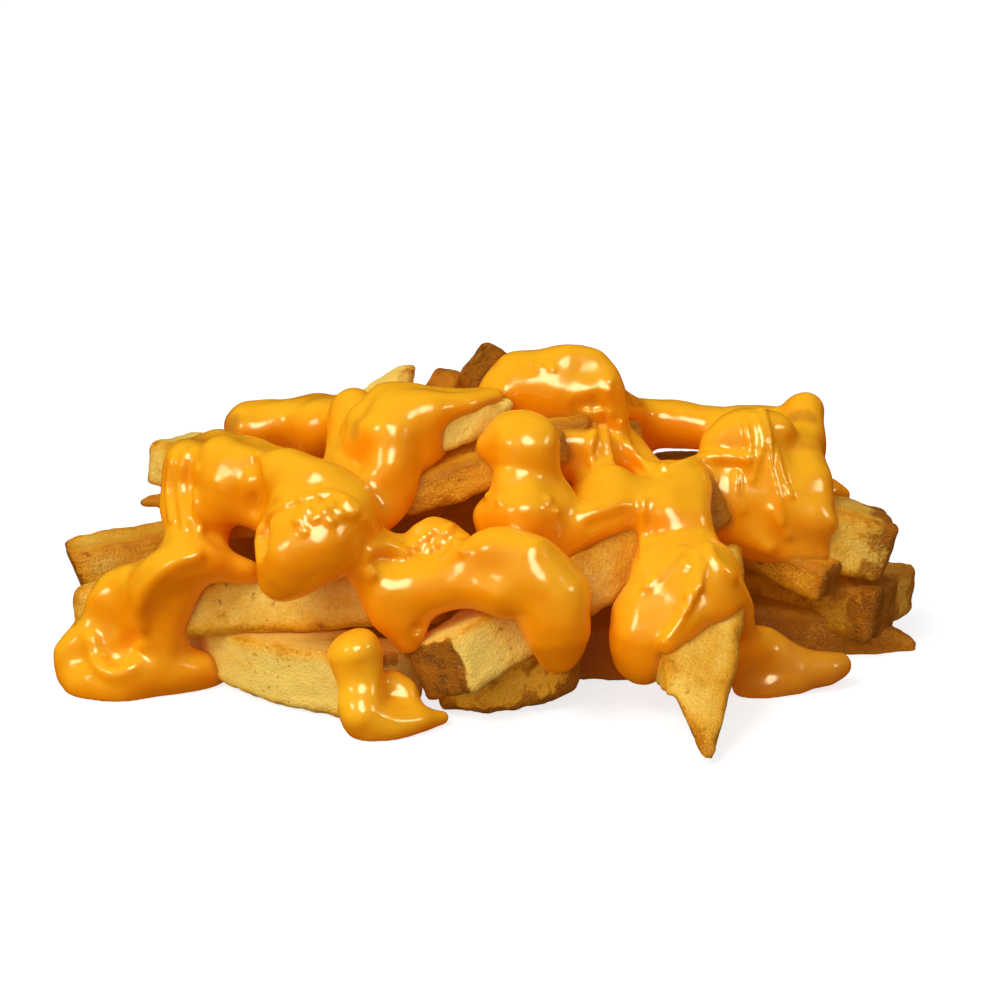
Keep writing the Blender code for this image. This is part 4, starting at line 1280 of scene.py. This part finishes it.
@dataclass
class CheeseSauce:
    """The poured sauce and the drip that lies by itself at the front."""

    finish: SauceFinish = field(default_factory=SauceFinish)
    fine: float = 0.5
    rough: float = 0.9
    most_triangles: int = 185000
    film_depth: float = 2.2
    film_far: float = 9.0
    thin_reach: float = 1.5
    everywhere: float = 1000.0
    poured_box: tuple[Point, Point] = ((-86, -44, -2), (78, 60, 66))
    dripped_box: tuple[Point, Point] = ((-36, -46, -2), (0, -12, 26))

    def build(self) -> list[bpy.types.Object]:
        """Makes the two pieces."""
        spacing = self.fine
        material = self.finish.material()
        poured = PourField(*self.poured_box, spacing)
        dripped = PourField(*self.dripped_box, min(spacing, self.fine))
        for run in BACK_RUNS.values():
            poured.strand(run)
        for run in FRONT_RUNS.values():
            poured.seen_strand(run)
        for coat in COATS:
            poured.coat(coat)
        poured.soften(passes=2)
        poured.ripple(size=11.0, depth=0.24, seed=5)
        poured.ripple(size=5.0, depth=0.05, seed=9)
        for dent in DENTS:
            poured.mark(dent, dent=True)
        for string in STRINGS:
            poured.mark(string)
        for across, down, radius in BUBBLES:
            poured.mark(Mark(((across, down),), radius, lift=-radius * 0.35, blend=0.8))
        for run in DRIPPED.values():
            dripped.seen_strand(run)
        dripped.soften(passes=2)
        dripped.ripple(size=9.0, depth=0.25, seed=21)
        return [
            self.piece("sauce_poured", poured, material, light=0.0),
            # The drip is painted lighter, as if light shone through it.
            self.piece("sauce_dripped", dripped, material, light=0.33),
        ]

    def piece(self, name: str, pour: PourField, material: Any, light: float) -> bpy.types.Object:
        """Turns a field into a dressed object, cut off flat at the surface that it lies on.

        Args:
            name: the object's name.
            pour: the field.
            material: the sauce's material.
            light: how much lighter it is painted than the rest, as a small drip that light shines through.

        Returns:
            The object.
        """
        _, (_, _, height) = pour.window([(0.0, 0.0, 0.0, 0.0)], self.everywhere)
        pour.values = np.maximum(pour.values, -height)
        made = linked(name, pour.mesh(name))
        count = triangles(made)
        if count > self.most_triangles:
            thin_out = made.modifiers.new("thin_out", "DECIMATE")
            thin_out.ratio = self.most_triangles / count
            make_real(made)
        made.data.materials.append(material)
        self.mark_films_and_painted_light(made, light)
        return made

    def mark_films_and_painted_light(self, thing: bpy.types.Object, light: float) -> None:
        """Stores, for each point, how thin the sauce lies over a fry and how far up it faces, from 0 to 1."""
        spots, normals = (np.empty(len(thing.data.vertices) * 3, np.float32) for _ in range(2))
        thing.data.vertices.foreach_get("co", spots)
        thing.data.vertices.foreach_get("normal", normals)
        x, y, z = (spots.reshape(-1, 3) / MM).T
        lines = (x + CENTRE[0], y + CENTRE[1], z)
        nearest = np.full(len(x), self.film_far, np.float32)
        for fry in FRIES.values():
            nearest = np.minimum(nearest, np.abs(fry_distance(fry, lines)))
        film = np.clip(1.0 - nearest / self.film_depth, 0.0, 1.0)
        # Partly painted shade: the listed thin places include the strand on the surface, with no fry under
        # it.
        for across, down, depth, radius, share in THIN_AND_SHADED_PLACES:
            spot = VIEW.at_depth(across, down, depth)
            gap = np.sqrt(sum((line - middle) ** 2 for line, middle in zip(lines, spot)))
            film = np.maximum(film, share * np.clip(self.thin_reach - gap / radius, 0.0, 1.0))
        keep(thing.data, "film", film.astype(np.float32))
        # Painted light and shade: how far up each face turns, raised by the drip's extra painted light.
        keep(thing.data, "rise", normals.reshape(-1, 3)[:, 2] * 0.5 + 0.5 + light)


@dataclass
class Studio:
    """The camera, the soft lights and the pale surface."""

    view: FrontView = VIEW
    sky: float = 0.4
    below: float = 0.22
    horizon: float = 0.2
    half: float = 4.0
    suns: tuple[tuple[str, Point, float, float], ...] = (
        ("key", (-0.6, -0.62, 1.0), 26.0, 1.65),
        ("second", (0.55, -0.4, 0.9), 18.0, 0.08),
        ("fill", (-0.45, -1.0, 0.32), 40.0, 1.05),
    )
    glints: tuple[tuple[str, Point, float, float], ...] = (
        ("glint_front", (0.12, -0.8, 0.75), 32.0, 4.0),
        ("glint_left", (-0.75, -0.6, 0.55), 15.0, 0.8),
        ("glint_right", (0.95, -0.35, 0.5), 13.0, 0.55),
    )
    shine: Colour = (1.0, 0.9, 0.58)

    def build(self) -> None:
        """Makes everything round the heap."""
        self.camera()
        self.surface()
        self.light()

    def camera(self) -> None:
        """Places the camera low in front of the heap."""
        lens = bpy.data.cameras.new("camera")
        lens.lens, lens.sensor_width = self.view.lens, self.view.sensor
        lens.clip_start, lens.clip_end = 0.01, 50.0
        made = linked("camera", lens)
        made.location = placed(self.view.eye())
        made.rotation_euler = (math.radians(90.0 - self.view.elevation), 0.0, 0.0)
        bpy.context.scene.camera = made

    def surface(self) -> None:
        """Lays the pale surface."""
        mesh = bpy.data.meshes.new("surface")
        ways = ((-1, -1), (1, -1), (1, 1), (-1, 1))
        mesh.from_pydata([(x * self.half, y * self.half, 0) for x, y in ways], [], [range(4)])
        made = linked("surface", mesh)
        mesh.materials.append(FloorFinish().material())
        made.visible_glossy = made.visible_diffuse = False

    def light(self) -> None:
        """Lights the heap softly from above its front left, with glints on what is wet."""
        world = bpy.data.worlds.new("studio")
        graph = emptied(world)
        height = graph.parts(graph.node("ShaderNodeTexCoord").outputs["Generated"])[2]
        strength = height.step(-self.horizon, self.horizon) * (self.sky - self.below) + self.below
        shine = graph.out("ShaderNodeBackground", Color=(1.0, 1.0, 1.0), Strength=strength)
        graph.node("ShaderNodeOutputWorld", inputs={"Surface": shine})
        world.cycles_visibility.glossy = False
        bpy.context.scene.world = world
        for soft, lamps in ((True, self.suns), (False, self.glints)):
            for name, way, angle, power in lamps:
                lamp = bpy.data.lights.new(name, "SUN")
                lamp.angle, lamp.energy = math.radians(angle), power
                lamp.color = (1.0, 1.0, 1.0) if soft else self.shine
                made = linked(name, lamp)
                made.rotation_euler = Vector(way).to_track_quat("Z", "Y").to_euler()
                made.visible_glossy, made.visible_diffuse = not soft, soft
        bpy.context.scene.view_settings.view_transform = "Standard"


def dress(pieces: Iterable[bpy.types.Object], node: str) -> None:
    """Hangs the pieces under the root, hides the part that they replace, and reports them."""
    for piece in pieces:
        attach(piece, "root")
        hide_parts(node)
        LOG.info("%s: %d triangles", piece.name, triangles(piece))


def main() -> None:
    """Builds the heap, the sauce and the studio."""
    logging.basicConfig(level=logging.INFO, format="%(message)s")
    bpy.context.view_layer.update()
    Studio().build()
    dress(FryHeap().build(), "fries")
    poured, dripped = CheeseSauce().build()
    dress([poured], "cheese_sauce")
    dress([dripped], "sauce_front_drip")


if __name__ == "__main__":
    main()
